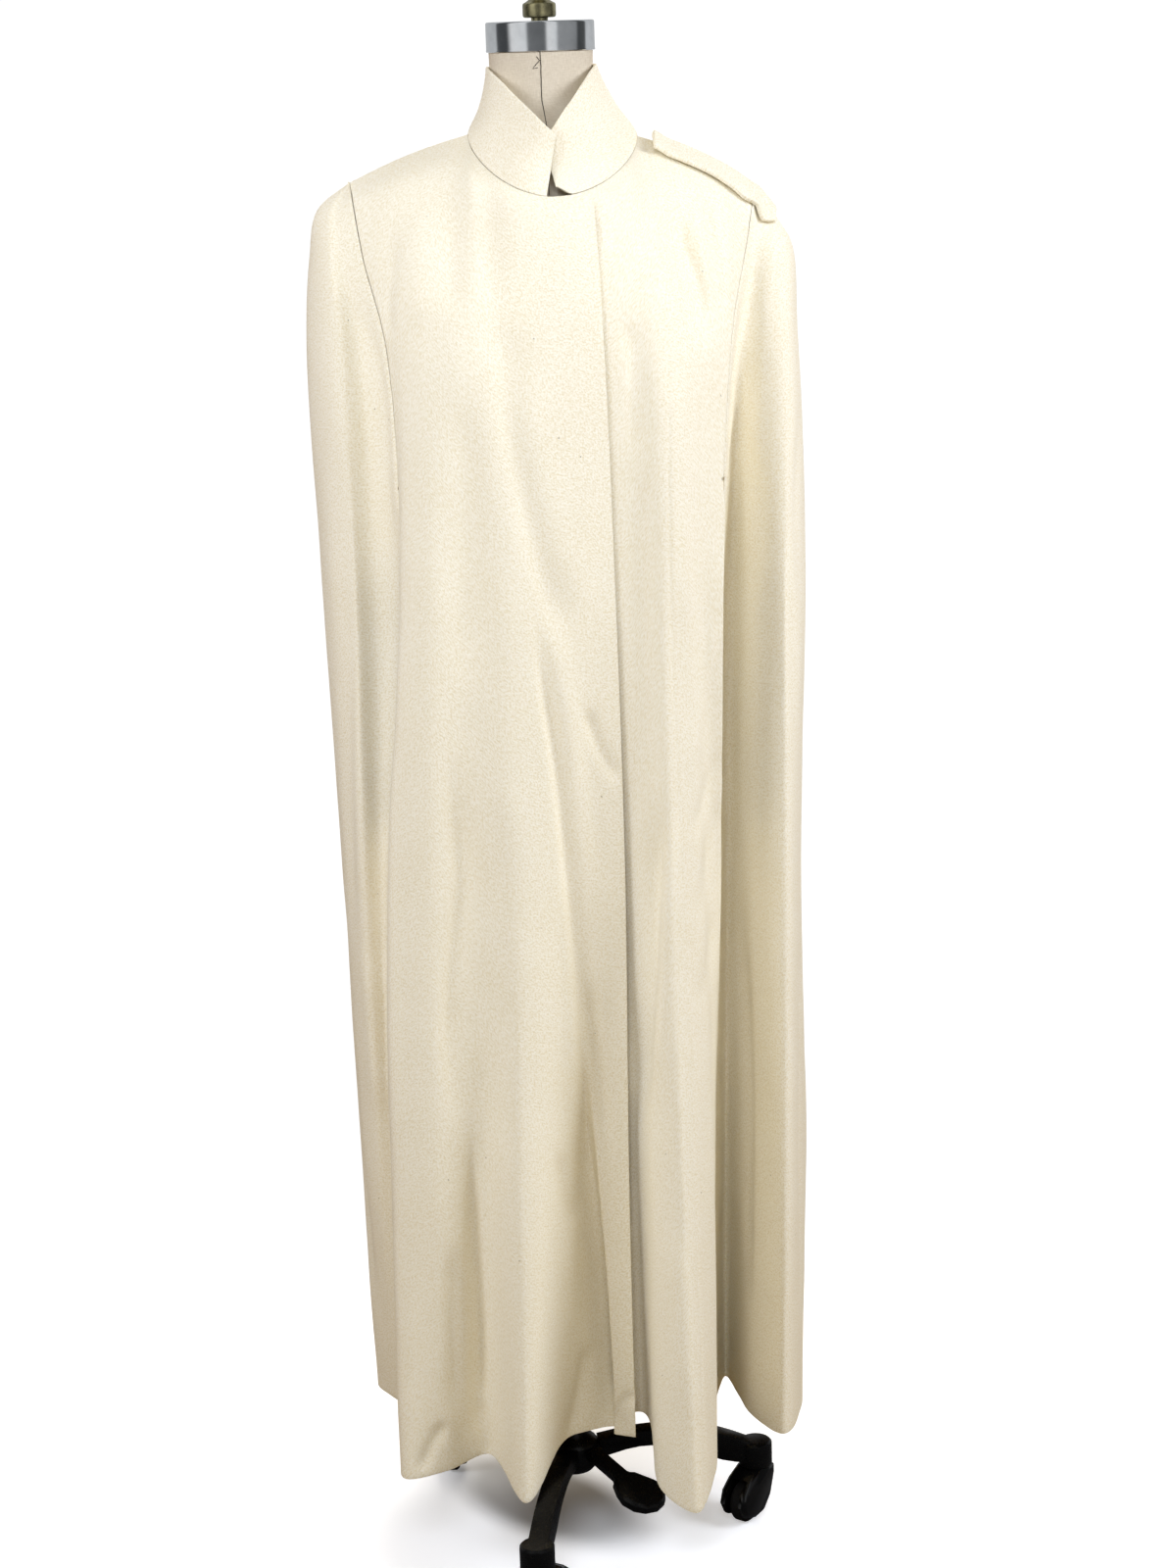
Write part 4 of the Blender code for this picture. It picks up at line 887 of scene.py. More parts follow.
FOLDS = {
    "front_right": (
        # the drape from the shoulder point, and two soft lines down from the yoke
        Fold(((-0.155, 1.480), (-0.160, 1.425), (-0.165, 1.395), (-0.170, 1.350)), 9, 10, -5.6),
        Fold(((-0.060, 1.550), (-0.055, 1.495), (-0.055, 1.370)), 13, 15, -3.2),
        Fold(((-0.088, 1.515), (-0.092, 1.455), (-0.095, 1.380)), 12, 14, -3.0),
        Fold(((-0.120, 1.500), (-0.130, 1.440), (-0.130, 1.370)), 16, 14, 2.2),
        # the fold that leaves the bust and crosses to the front edge
        Fold(((-0.055, 1.400), (-0.045, 1.355), (-0.040, 1.290), (-0.025, 1.195), (-0.005, 1.095),
              (0.008, 1.030)), 14, 20, -4.7),
        Fold(((-0.030, 1.350), (-0.020, 1.250), (-0.005, 1.170), (0.010, 1.080)), 14, 20, 3.1),
        # the long crease beside the front edge, and the deep trough that it runs into
        Fold(((-0.026, 1.130), (-0.015, 1.020), (-0.003, 0.915), (0.005, 0.800), (0.013, 0.685),
              (0.017, 0.560), (0.019, 0.450)), 7, 13, -6.4),
        Fold(((-0.012, 1.110), (0.000, 1.010), (0.012, 0.905), (0.021, 0.790), (0.029, 0.680),
              (0.033, 0.560)), 9, 16, 4.3),
        Fold(((0.014, 0.640), (0.018, 0.450), (0.023, 0.330), (0.026, 0.205), (0.025, 0.090)),
             22, 4, -34.0),
        # down the middle of the panel
        Fold(((-0.088, 1.330), (-0.084, 1.215), (-0.086, 1.115), (-0.095, 0.990)), 16, 18, -3.7),
        Fold(((-0.116, 0.950), (-0.110, 0.855), (-0.109, 0.800), (-0.118, 0.730), (-0.126, 0.640),
              (-0.126, 0.510)), 9, 14, -6.6),
        Fold(((-0.110, 0.540), (-0.113, 0.410), (-0.112, 0.295), (-0.114, 0.235), (-0.117, 0.150)),
             8, 6, -13.0),
        Fold(((-0.135, 0.400), (-0.138, 0.300), (-0.141, 0.180)), 9, 9, -5.2),
        Fold(((-0.060, 0.900), (-0.066, 0.760), (-0.072, 0.600), (-0.074, 0.450)), 16, 20, -3.9),
        # creases by the front edge, and at the hem
        Fold(((0.026, 0.985), (0.040, 0.937), (0.060, 0.895)), 6, 8, -3.5),
        Fold(((0.022, 0.690), (0.024, 0.625), (0.030, 0.565), (0.038, 0.455)), 6, 7, -4.3),
        Fold(((-0.016, 0.500), (-0.010, 0.448), (0.000, 0.395)), 7, 9, -4.3),
        Fold(((0.006, 0.255), (-0.003, 0.200), (-0.016, 0.140)), 6, 8, -4.8),
        Fold(((0.034, 0.140), (0.045, 0.185), (0.060, 0.195)), 6, 6, -3.5),
        Fold(((-0.180, 0.130), (-0.167, 0.163), (-0.150, 0.190)), 6, 7, -3.9),
        Fold(((-0.105, 0.128), (-0.109, 0.165), (-0.113, 0.205)), 6, 6, -3.1),
        Fold(((-0.180, 1.000), (-0.184, 0.850), (-0.188, 0.650), (-0.190, 0.450)), 8, 9, 3.9),
    ),
    "front_left": (
        # the two drapes from the shoulder point with a ridge between them
        Fold(((0.128, 1.505), (0.136, 1.462), (0.144, 1.440), (0.151, 1.420), (0.157, 1.390),
              (0.161, 1.335)), 20, 14, -17.0),
        Fold(((0.166, 1.505), (0.172, 1.460), (0.176, 1.420), (0.180, 1.350)), 7, 7, -5.3),
        Fold(((0.142, 1.475), (0.155, 1.437), (0.163, 1.398), (0.170, 1.340)), 6, 6, 3.1),
        Fold(((0.100, 1.545), (0.106, 1.520), (0.110, 1.480)), 6, 8, -2.5),
        Fold(((0.130, 1.350), (0.128, 1.255), (0.127, 1.150), (0.129, 1.040)), 12, 12, 3.1),
        Fold(((0.078, 1.385), (0.088, 1.325), (0.085, 1.225)), 9, 14, -2.8),
        # the sharp crease across the lower front, and its soft shoulder
        Fold(((0.104, 0.900), (0.098, 0.830), (0.092, 0.765), (0.086, 0.695), (0.080, 0.630),
              (0.074, 0.565), (0.068, 0.490)), 12, 7, -8.5),
        Fold(((0.116, 0.880), (0.109, 0.800), (0.103, 0.720), (0.096, 0.630), (0.090, 0.540)),
             8, 12, 2.8),
        # drag lines up the strip that turns back towards the side
        Fold(((0.132, 0.895), (0.150, 0.998), (0.166, 1.075)), 7, 7, 1.9),
        Fold(((0.132, 0.835), (0.152, 0.885), (0.170, 0.930)), 7, 7, -2.2),
        Fold(((0.136, 0.745), (0.150, 0.804), (0.168, 0.880)), 7, 8, -2.0),
        Fold(((0.138, 0.650), (0.150, 0.694), (0.166, 0.755)), 7, 7, -1.9),
        Fold(((0.100, 0.420), (0.106, 0.320), (0.104, 0.200)), 10, 14, 2.5),
    ),
    "side_right": (
        Fold(((-0.060, 1.430), (-0.090, 1.310), (-0.091, 1.210), (-0.080, 1.065), (-0.066, 0.870)),
             8, 12, -4.0),
        Fold(((-0.082, 1.280), (-0.071, 1.105), (-0.052, 0.890), (-0.018, 0.640)), 9, 12, -4.0),
        Fold(((-0.045, 0.710), (-0.032, 0.600), (-0.015, 0.495)), 6, 8, 2.8),
        Fold(((0.040, 1.420), (0.048, 1.250), (0.044, 1.050), (0.060, 0.850)), 12, 16, -3.7),
        Fold(((0.010, 0.780), (0.024, 0.600), (0.050, 0.400), (0.070, 0.230)), 9, 14, -5.0),
        Fold(((0.090, 0.620), (0.104, 0.450), (0.124, 0.260)), 10, 12, 3.4),
    ),
    "side_left": (
        Fold(((-0.055, 1.395), (-0.073, 1.245), (-0.070, 1.090), (-0.060, 0.850)), 8, 12, -3.4),
        Fold(((-0.030, 1.290), (-0.053, 1.170), (-0.042, 1.040)), 6, 8, -2.2),
        Fold(((0.020, 1.430), (0.028, 1.280), (0.024, 1.100), (0.034, 0.900)), 12, 14, -3.7),
        Fold(((0.060, 1.200), (0.072, 1.000), (0.076, 0.800), (0.094, 0.560)), 12, 14, -4.0),
        Fold(((-0.010, 0.760), (-0.012, 0.560), (-0.004, 0.380), (0.002, 0.220)), 9, 12, -4.3),
    ),
    "back": (
        # drapes from both shoulders, and uneven lines between the deep folds
        Fold(((-0.140, 1.480), (-0.148, 1.420), (-0.152, 1.340)), 9, 9, -4.7),
        Fold(((-0.100, 1.500), (-0.112, 1.400), (-0.118, 1.280)), 12, 14, -2.8),
        Fold(((0.150, 1.490), (0.160, 1.420), (0.166, 1.330)), 8, 9, -5.3),
        Fold(((0.105, 1.490), (0.120, 1.390), (0.122, 1.260)), 11, 14, -3.1),
        Fold(((-0.020, 1.520), (-0.024, 1.420), (-0.030, 1.300)), 14, 14, -1.9),
        Fold(((0.034, 1.420), (0.026, 1.300), (0.024, 1.150), (0.018, 0.980)), 12, 16, -3.4),
        Fold(((-0.128, 1.150), (-0.130, 0.980), (-0.134, 0.780), (-0.136, 0.600)), 10, 14, -4.7),
        Fold(((-0.084, 0.940), (-0.086, 0.760), (-0.090, 0.540), (-0.088, 0.340)), 9, 12, -5.0),
        Fold(((-0.030, 0.820), (-0.034, 0.620), (-0.036, 0.400), (-0.034, 0.200)), 8, 12, -4.3),
        Fold(((0.024, 0.900), (0.020, 0.700), (0.022, 0.480), (0.020, 0.260)), 9, 12, -4.7),
        Fold(((0.074, 1.080), (0.070, 0.880), (0.072, 0.680), (0.068, 0.460)), 10, 14, -4.0),
        Fold(((0.128, 0.980), (0.126, 0.780), (0.128, 0.560), (0.124, 0.320)), 9, 12, -5.0),
        Fold(((0.180, 0.860), (0.186, 0.680), (0.194, 0.480), (0.184, 0.300)), 9, 12, -4.0),
        Fold(((-0.176, 0.760), (-0.178, 0.560), (-0.182, 0.360)), 9, 10, 3.1),
    ),
}


CLOTH_SWELLS = (
    Swell(1.3 * MM, (0.060, 0.060, 0.210), 3.7),
    Swell(0.45 * MM, (0.022, 0.022, 0.070), 11.3),
)
SEAM_WAVES = (Swell(1.0, (0.5, 0.5, 0.016), 7.1), Swell(0.6, (0.5, 0.5, 0.007), 1.9))
PRINCESS_WAVE = Swell(1.0, (0.5, 0.5, 0.014), 5.1)
COLLAR_SWELLS = (
    Swell(0.7 * MM, (0.035, 0.035, 0.030), 5.3),
    Swell(0.3 * MM, (0.012, 0.012, 0.012), 9.1),
)


# ---------------------------------------------------------------- the cape


@dataclass
class Panel:
    """One piece of the cape, as a grid of points with the way that each faces.

    sewn says how firmly each row is held by the seam at its first and at its last column, 0 to 1.
    """

    name: str
    grid: np.ndarray
    normals: np.ndarray
    sewn: list[np.ndarray] = field(init=False)

    def __post_init__(self) -> None:
        """Start with both sides free."""
        self.sewn = [np.zeros(len(self.grid)), np.zeros(len(self.grid))]

    @property
    def across(self) -> int:
        """Which coordinate runs across the panel: x on the front and back, y on the sides."""
        return 1 if self.name.startswith("side") else 0


@dataclass
class Cape:
    """The cape's five panels, sewn at the shoulders and sides, with an open slit for each arm.

    Places across a panel count its creases from 0.
    """

    neck: Neckline = field(default_factory=Neckline)
    thickness: float = 2.0 * MM
    edge: float = 0.45 * MM
    seam_gap: float = 0.6 * MM
    top_gap: float = 0.2  # of the seam gap, along the neck and the shoulders
    slit_top: float = 1.211
    slit_bottom: float = 0.795
    slit_closing: tuple[float, float] = (0.07, 0.16)  # how long its bottom and top close in
    slit_offset: tuple[float, float] = (0.012, 0.020)  # of a side's edge, away from the front
    right_offset: tuple[float, float] = (-0.004, -0.002)
    left_offset: tuple[float, float] = (0.000, -0.004)
    met: tuple[float, float] = (3.0 * MM, 0.2 * MM)  # a gap is open at the first, sewn at the second
    cap_share: tuple[float, float, float] = (0.70, 0.50, 0.72)
    rows: tuple[int, ...] = (8, 8, 24, 52, 66, 72, 66)
    faces: int = 11
    front_faces: int = 18
    near_seam: tuple[float, ...] = (0.035, 0.075, 0.13, 0.21, 0.31)
    clear_of_edge: float = 0.36
    beside_seam: tuple[float, ...] = (-0.12, -0.07, -0.035, 0.0, 0.035, 0.07, 0.12)
    clear_of_seam: float = 0.16
    princess_seam: float = 2.667
    princess_deepens: tuple[float, float] = (1.00, 0.70)
    path_steps: int = 8
    fade: float = 0.25
    deep: float = 10.0  # a fold that sinks by more than this many millimetres leans
    leaning: float = 0.5
    held: float = 12.0 * MM  # how far a seam holds the folds beside it
    yoke_calm: float = 0.35  # the share of the unevenness that is left on the yoke
    yoke: tuple[float, float] = (1.50, 1.30)
    free: float = 0.02  # how far below its top edge the cloth is free to move
    ditch: float = 1.1 * MM
    ditch_width: float = 1.8 * MM
    pucker: float = 0.45 * MM
    pucker_reach: float = 12.0 * MM
    princess_reach: float = 10.0 * MM
    tack_width: float = 8.0 * MM
    tack_threads: int = 7
    tack_pitch: float = 0.42 * MM
    tack_rise: float = 0.2 * MM
    silk: float = 0.5 * MM
    stands: dict[str, tuple[str, ...]] = field(
        default_factory=lambda: {
            "front_left": ("front_left", "front_left_side"),
            "side_left": ("side_left", "side_left_front"),
        }
    )

    def columns(self, gaps: int, faces: int, seam: float | None = None) -> np.ndarray:
        """Places across a panel, closer together beside its two edges.

        Args:
            gaps: How many gaps lie between its creases.
            faces: How many faces span one gap.
            seam: Where a seam runs down inside it, which is given closer places too.

        Returns:
            The places, from 0 to gaps.
        """
        even = np.arange(1, gaps * faces) / faces
        even = even[(even > self.clear_of_edge) & (even < gaps - self.clear_of_edge)]
        if seam is not None:
            even = even[np.abs(even - seam) > self.clear_of_seam]
            even = np.sort(np.append(even, seam + np.array(self.beside_seam)))
        close = np.array(self.near_seam)
        return np.concatenate([[0.0], close, even, gaps - close[::-1], [float(gaps)]])

    def opening(self, z: np.ndarray) -> np.ndarray:
        """0 where the panels are sewn together, 1 where the arm slit is open."""
        low = smoothstep(self.slit_bottom, self.slit_bottom + self.slit_closing[0], z)
        return smoothstep(self.slit_top, self.slit_top - self.slit_closing[1], z) * low

    def parted(self, line: np.ndarray, offset: tuple[float, float]) -> np.ndarray:
        """Move a seam line aside along the open length of the arm slit."""
        moved = line.copy()
        moved[:, :2] += self.opening(line[:, 2])[:, None] * np.array(offset)
        return moved

    def lines(self, creases: Sequence[Crease], top_of: Callable) -> np.ndarray:
        """The panel's crease lines, with shape (creases, rows, 3)."""
        made = []
        for crease in creases:
            heights = (*LEVELS[:-1], LEVELS[-1] - crease.drop)
            levels = [np.array((*spot, z)) for spot, z in zip(crease[2:8], heights)]
            top = top_of(crease.top)[0]
            cap = levels[0] + (top - levels[0]) * np.array(self.cap_share)
            made.append(through(np.array([top, cap, *levels]), spread(self.rows)))
        return np.array(made)

    def top_share(self) -> np.ndarray:
        """How much each row takes from the panel's top edge: 1 there, 0 from half way to the cap."""
        return np.clip(1.0 - 2.0 * spread(self.rows), 0.0, 1.0)[:, None, None]

    def hung(
        self, name: str, creases: Sequence[Crease], lines: np.ndarray, top_of: Callable
    ) -> Panel:
        """Make a front or back panel from its crease lines.

        Args:
            name: The panel's name.
            creases: Its creases, clockwise seen from above.
            lines: Their points.
            top_of: Gives the top edge's point and facing at a place along it.

        Returns:
            The panel.
        """
        seam = self.princess_seam if name == "front_left" else None
        faces = self.faces if name == "back" else self.front_faces
        places = self.columns(len(creases) - 1, faces, seam)
        grid = through(lines.transpose(1, 0, 2), places)
        tops = np.interp(places, np.arange(len(creases)), [crease.top for crease in creases])
        points, facings = zip(*(top_of(t) for t in tops))
        share = self.top_share()
        grid = grid + share * (np.array(points) - grid[0])
        normals = unit(facing(grid) * (1.0 - share) + np.array(facings) * share)
        return Panel(name, grid, normals)

    def side(
        self,
        name: str,
        creases: Sequence[SideCrease],
        ends: tuple[np.ndarray, np.ndarray],
        tip: tuple[float, float, float],
        turn: float,
    ) -> Panel:
        """Make a side panel between two seam lines.

        Args:
            name: The panel's name.
            creases: Its creases, clockwise seen from above.
            ends: The seam lines before and after them.
            tip: The shoulder point from which they fan out.
            turn: 1 where clockwise runs to +y, -1 where it runs to -y.

        Returns:
            The panel.
        """
        lines = []
        for crease in creases:
            top = np.array(tip)
            top[1] += turn * self.neck.tip * (2.0 * crease.fan - 1.0)
            levels = [np.array((*spot, z)) for spot, z in zip(crease[3:], LEVELS)]
            lines.append(through(np.array([top, crease.cap, *levels]), spread(self.rows)))
        first, last = ends[0].copy(), ends[1].copy()
        first[0] = np.array(tip) - np.array((0.0, turn * self.neck.tip, 0.0))
        last[0] = np.array(tip) + np.array((0.0, turn * self.neck.tip, 0.0))
        edged = np.array([first, *lines, last]).transpose(1, 0, 2)
        grid = through(edged, self.columns(len(creases) + 1, self.faces))
        share = self.top_share()
        over = self.neck.shoulder_facing(-1 if tip[0] < 0 else 1)
        return Panel(name, grid, unit(facing(grid) * (1.0 - share) + over * share))

    def panels(self) -> list[Panel]:
        """The five panels, clockwise from the right front, with their seams matched."""
        neck = self.neck
        right = self.lines(FRONT_RIGHT, neck.right_front_top)
        left = self.lines(FRONT_LEFT, neck.left_front_top)
        back = self.lines(BACK, neck.back_top)
        x, y = self.slit_offset
        right_ends = (self.parted(right[-1], (x, y)), back[0])
        left_ends = (back[-1], self.parted(left[0], (-x, y)))
        right[-1] = self.parted(right[-1], self.right_offset)
        left[0] = self.parted(left[0], self.left_offset)
        made = [
            self.hung("front_right", FRONT_RIGHT, right, neck.right_front_top),
            self.side("side_right", SIDE_RIGHT, right_ends, neck.right_end, 1.0),
            self.hung("back", BACK, back, neck.back_top),
            self.side("side_left", SIDE_LEFT, left_ends, neck.left_end, -1.0),
            self.hung("front_left", FRONT_LEFT, left, neck.left_front_top),
        ]
        for a, b in zip(made, made[1:]):
            gap = np.linalg.norm(a.grid[:, -1] - b.grid[:, 0], axis=1)
            together = smoothstep(*self.met, gap)
            shared = unit(a.normals[:, -1] + b.normals[:, 0])
            for panel, end in ((a, -1), (b, 0)):
                own = panel.normals[:, end] * (1.0 - together[:, None])
                panel.normals[:, end] = unit(shared * together[:, None] + own)
                panel.sewn[end] = together
        return made

    def fold_height(self, panel: Panel, fold: Fold) -> np.ndarray:
        """How far one fold moves each point of the panel."""
        path = np.array(fold.path)
        path = through(path, np.linspace(0.0, len(path) - 1.0, self.path_steps * len(path)))
        spots = panel.grid[..., [panel.across, 2]].reshape(-1, 2)
        nearest, above, run = np.full(len(spots), 1e9), np.zeros(len(spots)), np.zeros(len(spots))
        for index, (a, b) in enumerate(zip(path, path[1:])):
            step = b - a
            t = np.clip((spots - a) @ step / (step @ step), 0.0, 1.0)
            off = spots - a - t[:, None] * step
            away = np.linalg.norm(off, axis=1)
            closer = away < nearest
            nearest[closer] = away[closer]
            above[closer] = off[closer, 0]
            run[closer] = ((index + t) / (len(path) - 1))[closer]
        reach = np.where(above > 0, fold.high, fold.low) * MM
        fade = smoothstep(0.0, self.fade, run) * smoothstep(1.0, 1.0 - self.fade, run)
        height = fold.rise * MM * fade * bell(nearest, reach)
        return height.reshape(panel.grid.shape[:2])

    def princess_ditch(self, panel: Panel, along: np.ndarray) -> np.ndarray:
        """How far the seam down the left front sinks below the cloth beside it."""
        places = self.columns(len(FRONT_LEFT) - 1, self.front_faces, self.princess_seam)
        column = int(np.argmin(np.abs(places - self.princess_seam)))
        away = np.abs(along - along[:, column : column + 1])
        depth = 0.5 + 0.5 * smoothstep(*self.princess_deepens, panel.grid[..., 2])
        pulled = self.pucker * PRINCESS_WAVE.on(panel.grid) * np.exp(-away / self.princess_reach)
        return depth * (self.ditch * bell(away, self.ditch_width) + pulled)

    def worked(self, panel: Panel) -> np.ndarray:
        """The panel's points with its smaller folds, seams and unevenness worked in."""
        grid = panel.grid
        down = lengths_along(grid, 0)
        along = lengths_along(grid, 1)
        seams = [(along, panel.sewn[0][:, None]), (along[:, -1:] - along, panel.sewn[1][:, None])]
        lift = np.zeros(grid.shape[:2])
        lean = np.zeros(grid.shape[:2])
        for fold in FOLDS[panel.name]:
            height = self.fold_height(panel, fold)
            lift += height
            if fold.rise < -self.deep:
                lean -= np.sign(fold.low - fold.high) * self.leaning * height
        for away, sewn in seams:
            lift *= 1.0 - sewn * bell(away, self.held)
        calm = self.yoke_calm + (1.0 - self.yoke_calm) * smoothstep(*self.yoke, grid[..., 2])
        for swell in CLOTH_SWELLS:
            lift += calm * swell.on(grid)
        if panel.name == "front_left":
            lift -= self.princess_ditch(panel, along)
        wave = sum(swell.on(grid) for swell in SEAM_WAVES)
        for away, sewn in seams:
            lift += self.pucker * wave * sewn * np.exp(-away / self.pucker_reach)
            lift -= self.ditch * sewn * bell(away, self.ditch_width)
        lift *= smoothstep(0.0, self.free, down)
        lift -= self.top_gap * self.ditch * bell(down, self.ditch_width)
        points = grid + lift[..., None] * panel.normals
        points[..., panel.across] += lean
        return points

    def drawn_in(self, panel: Panel, points: np.ndarray) -> np.ndarray:
        """Draw the edges of the sewn sides in, so that a hairline parts the panels."""
        moved = points.copy()
        for edge, inside in ((0, 1), (-1, -2)):
            step = 0.5 * self.seam_gap * unit(panel.grid[:, inside] - panel.grid[:, edge])
            moved[:, edge] += step * panel.sewn[edge][:, None]
        moved[0] += self.top_gap * self.seam_gap * unit(panel.grid[1] - panel.grid[0])
        return moved

    def tack(self, panel: Panel, points: np.ndarray, column: int, inside: int) -> None:
        """Sew the bar tack that ends an arm slit.

        Args:
            panel: The front panel that it sits on.
            points: The panel's points.
            column: The column at its side seam.
            inside: A column a little inwards.
        """
        row = int(np.argmin(np.abs(points[:, column, 2] - self.slit_top)))
        middle, out = points[row, column], panel.normals[row, column]
        way = unit(middle - points[row, inside])
        runs = []
        for step in np.arange(self.tack_threads) - self.tack_threads // 2:
            at = middle + out * self.tack_rise + np.array((0.0, 0.0, step * self.tack_pitch))
            runs.append([at + way * reach * self.tack_width for reach in (-0.5, 0.0, 0.5)])
        threads(panel.name + "_tack", runs, self.silk, SILK)

    def build(self) -> dict[str, bpy.types.Object]:
        """Make the five panels.

        Returns:
            Each piece by its panel's name.
        """
        made = {}
        for panel in self.panels():
            name, points = panel.name + "_cloth", self.drawn_in(panel, self.worked(panel))
            cut = laid_flat(points, points.shape[1] // 2)
            nodes = self.stands.get(panel.name, (panel.name,))
            made[panel.name] = sew(name, points, cut, nodes, self.thickness, self.edge, lined=True)
            if panel.name == "front_right":
                self.tack(panel, points, -1, -3)
            elif panel.name == "front_left":
                self.tack(panel, points, 0, 2)
            log.info("%s: %d points", name, points.shape[0] * points.shape[1])
        return made


# ---------------------------------------------------------------- collar and shoulder strap


@dataclass
class Collar:
    """A stand collar in one band round the neckline, its right end lapped over its left one.

    Its angles are in degrees. Spans along the band go from 0 at its right end to 1 at its left one.
    """

    neck: Neckline = field(default_factory=Neckline)
    x: float = 0.0020
    half_width: float = 0.0570
    front: float = 0.088
    back: float = 0.063
    top: float = 1.628
    right_dip: float = 0.055
    left_dip: float = 0.074
    right_end: float = -5.0
    left_end: float = 1.5
    slant: float = 19.0
    slant_span: tuple[float, float] = (0.12, 0.0)
    overlap: float = 3.0
    overlap_span: tuple[float, float] = (0.86, 1.0)
    curl: float = 0.009
    curl_span: tuple[float, float] = (0.966, 1.0)
    gap_span: tuple[float, float] = (0.85, 0.93)
    hollow: float = 0.0045
    thickness: float = 2.6 * MM
    edge: float = 0.4 * MM
    seam_gap: float = 0.3 * MM
    foot_gap: float = 0.4  # of the seam gap, above the neckline
    ditch: float = 0.4 * MM
    ditch_width: float = 2.0 * MM
    free: float = 6.0 * MM
    columns: int = 220
    rows: int = 26

    def ends(self, u: float) -> tuple[np.ndarray, np.ndarray]:
        """The band's lower and upper point at u, 0 at its right end and 1 at its left one."""
        angle = self.right_end - (360.0 + self.right_end - self.left_end) * u
        tuck = self.neck.tuck_at(angle + 360.0) if u > 0.5 else 0.0
        low = self.neck.at(angle, tuck)
        low[2] += self.curl * smoothstep(*self.curl_span, u)
        low[2] += self.seam_gap * smoothstep(*self.gap_span, u)
        angle += self.slant * smoothstep(*self.slant_span, u)
        angle -= self.overlap * smoothstep(*self.overlap_span, u)
        a = math.radians(angle)
        reach = self.front - tuck if math.cos(a) > 0 else self.back
        if math.cos(a) <= 0:
            fall = 0.0
        elif u < 0.5:
            fall = self.right_dip * (1.0 + math.sin(a))
        else:
            fall = self.left_dip * (1.0 - math.sin(a))
        high = (self.x + self.half_width * math.sin(a), -reach * math.cos(a), self.top - fall)
        return low, np.array(high)

    def build(self) -> bpy.types.Object:
        """Make the collar."""
        pairs = [self.ends(u) for u in np.linspace(0.0, 1.0, self.columns + 1)]
        low, high = (np.array(side) for side in zip(*pairs))
        rows = []
        for t in np.linspace(0.0, 1.0, self.rows + 1):
            level = high + (low - high) * t
            inward = unit(level[:, :2] - np.array((self.neck.x, 0.0)))
            level[:, :2] -= self.hollow * math.sin(math.pi * t) * inward
            rows.append(level)
        grid = np.array(rows)
        down = lengths_along(grid, 0)
        rise = down[-1] - down
        lift = sum(swell.on(grid) for swell in COLLAR_SWELLS) * smoothstep(0.0, self.free, rise)
        lift -= self.ditch * bell(rise, self.ditch_width)
        points = grid + lift[..., None] * facing(grid)
        points[-1] += self.foot_gap * self.seam_gap * unit(grid[-2] - grid[-1])
        return sew("collar_cloth", points, laid_flat(grid), ("collar",), self.thickness, self.edge)


@dataclass
class Strap:
    """The padded strap on the left shoulder. It is sewn at the shoulder point and buttonless.

    Spans along the strap go from 0 at its neck end to 1 at the shoulder point.
    """

    start: float = 0.114
    end: float = 0.238
    half_width: float = 0.021
    middle: float = -0.010
    narrow: float = 0.4
    shift: float = 0.006
    end_span: tuple[float, float] = (0.70, 1.0)
    clearance: float = 0.4 * MM
    bridge: float = 2.0 * MM
    bridge_span: tuple[float, float] = (0.82, 0.62)
    lift: float = 4.0 * MM
    lift_span: tuple[float, float] = (0.14, 0.0)
    thickness: float = 4.5 * MM
    edge: float = 1.6 * MM
    patch: float = 2.0 * MM
    above: float = 1.7  # a height over everything, to look down from
    smoothings: int = 3
    columns: int = 62
    rows: int = 20

    def height(self, trees: Sequence[BVHTree], x: float, y: float) -> float:
        """The height of the cloth over a point: the highest of a small patch round it."""
        found = []
        for near_x in (-self.patch, 0.0, self.patch):
            for near_y in (-self.patch, 0.0, self.patch):
                for tree in trees:
                    start = Vector((x + near_x, y + near_y, self.above))
                    hit = tree.ray_cast(start, Vector((0.0, 0.0, -1.0)))[0]
                    if hit is not None:
                        found.append(hit.z)
        return max(found)

    def build(self, panels: Sequence[bpy.types.Object]) -> bpy.types.Object:
        """Lay the strap over the panels.

        Args:
            panels: The pieces that it lies on.

        Returns:
            The strap.
        """
        trees = [
            BVHTree.FromPolygons(
                [vertex.co for vertex in panel.data.vertices],
                [face.vertices for face in panel.data.polygons],
            )
            for panel in panels
        ]
        lower = np.zeros((self.rows + 1, self.columns + 1, 3))
        for c, along in enumerate(np.linspace(0.0, 1.0, self.columns + 1)):
            x = self.start + (self.end - self.start) * along
            narrowing = smoothstep(*self.end_span, along)
            half = self.half_width * (1.0 - self.narrow * narrowing)
            middle = self.middle + self.shift * narrowing
            lift = self.clearance + self.lift * smoothstep(*self.lift_span, along)
            lift += self.bridge * smoothstep(*self.bridge_span, along)
            for r in range(self.rows + 1):
                y = middle + half * (2.0 * r / self.rows - 1.0)
                lower[r, c] = (x, y, self.height(trees, x, y) + lift)
        for _ in range(self.smoothings):
            lower[1:-1, 1:-1, 2] = (
                lower[:-2, 1:-1, 2] + lower[2:, 1:-1, 2] + lower[1:-1, :-2, 2] + lower[1:-1, 2:, 2]
            ) / 4.0
        upper = lower + self.thickness * facing(lower)
        cut = laid_flat(upper)
        return sew("shoulder_strap", upper, cut, ("epaulette",), self.thickness, self.edge)


# ---------------------------------------------------------------- the dress form


class Oval(NamedTuple):
    """A level section of the form."""

    z: float
    half_width: float
    front: float
    back: float
    power: float


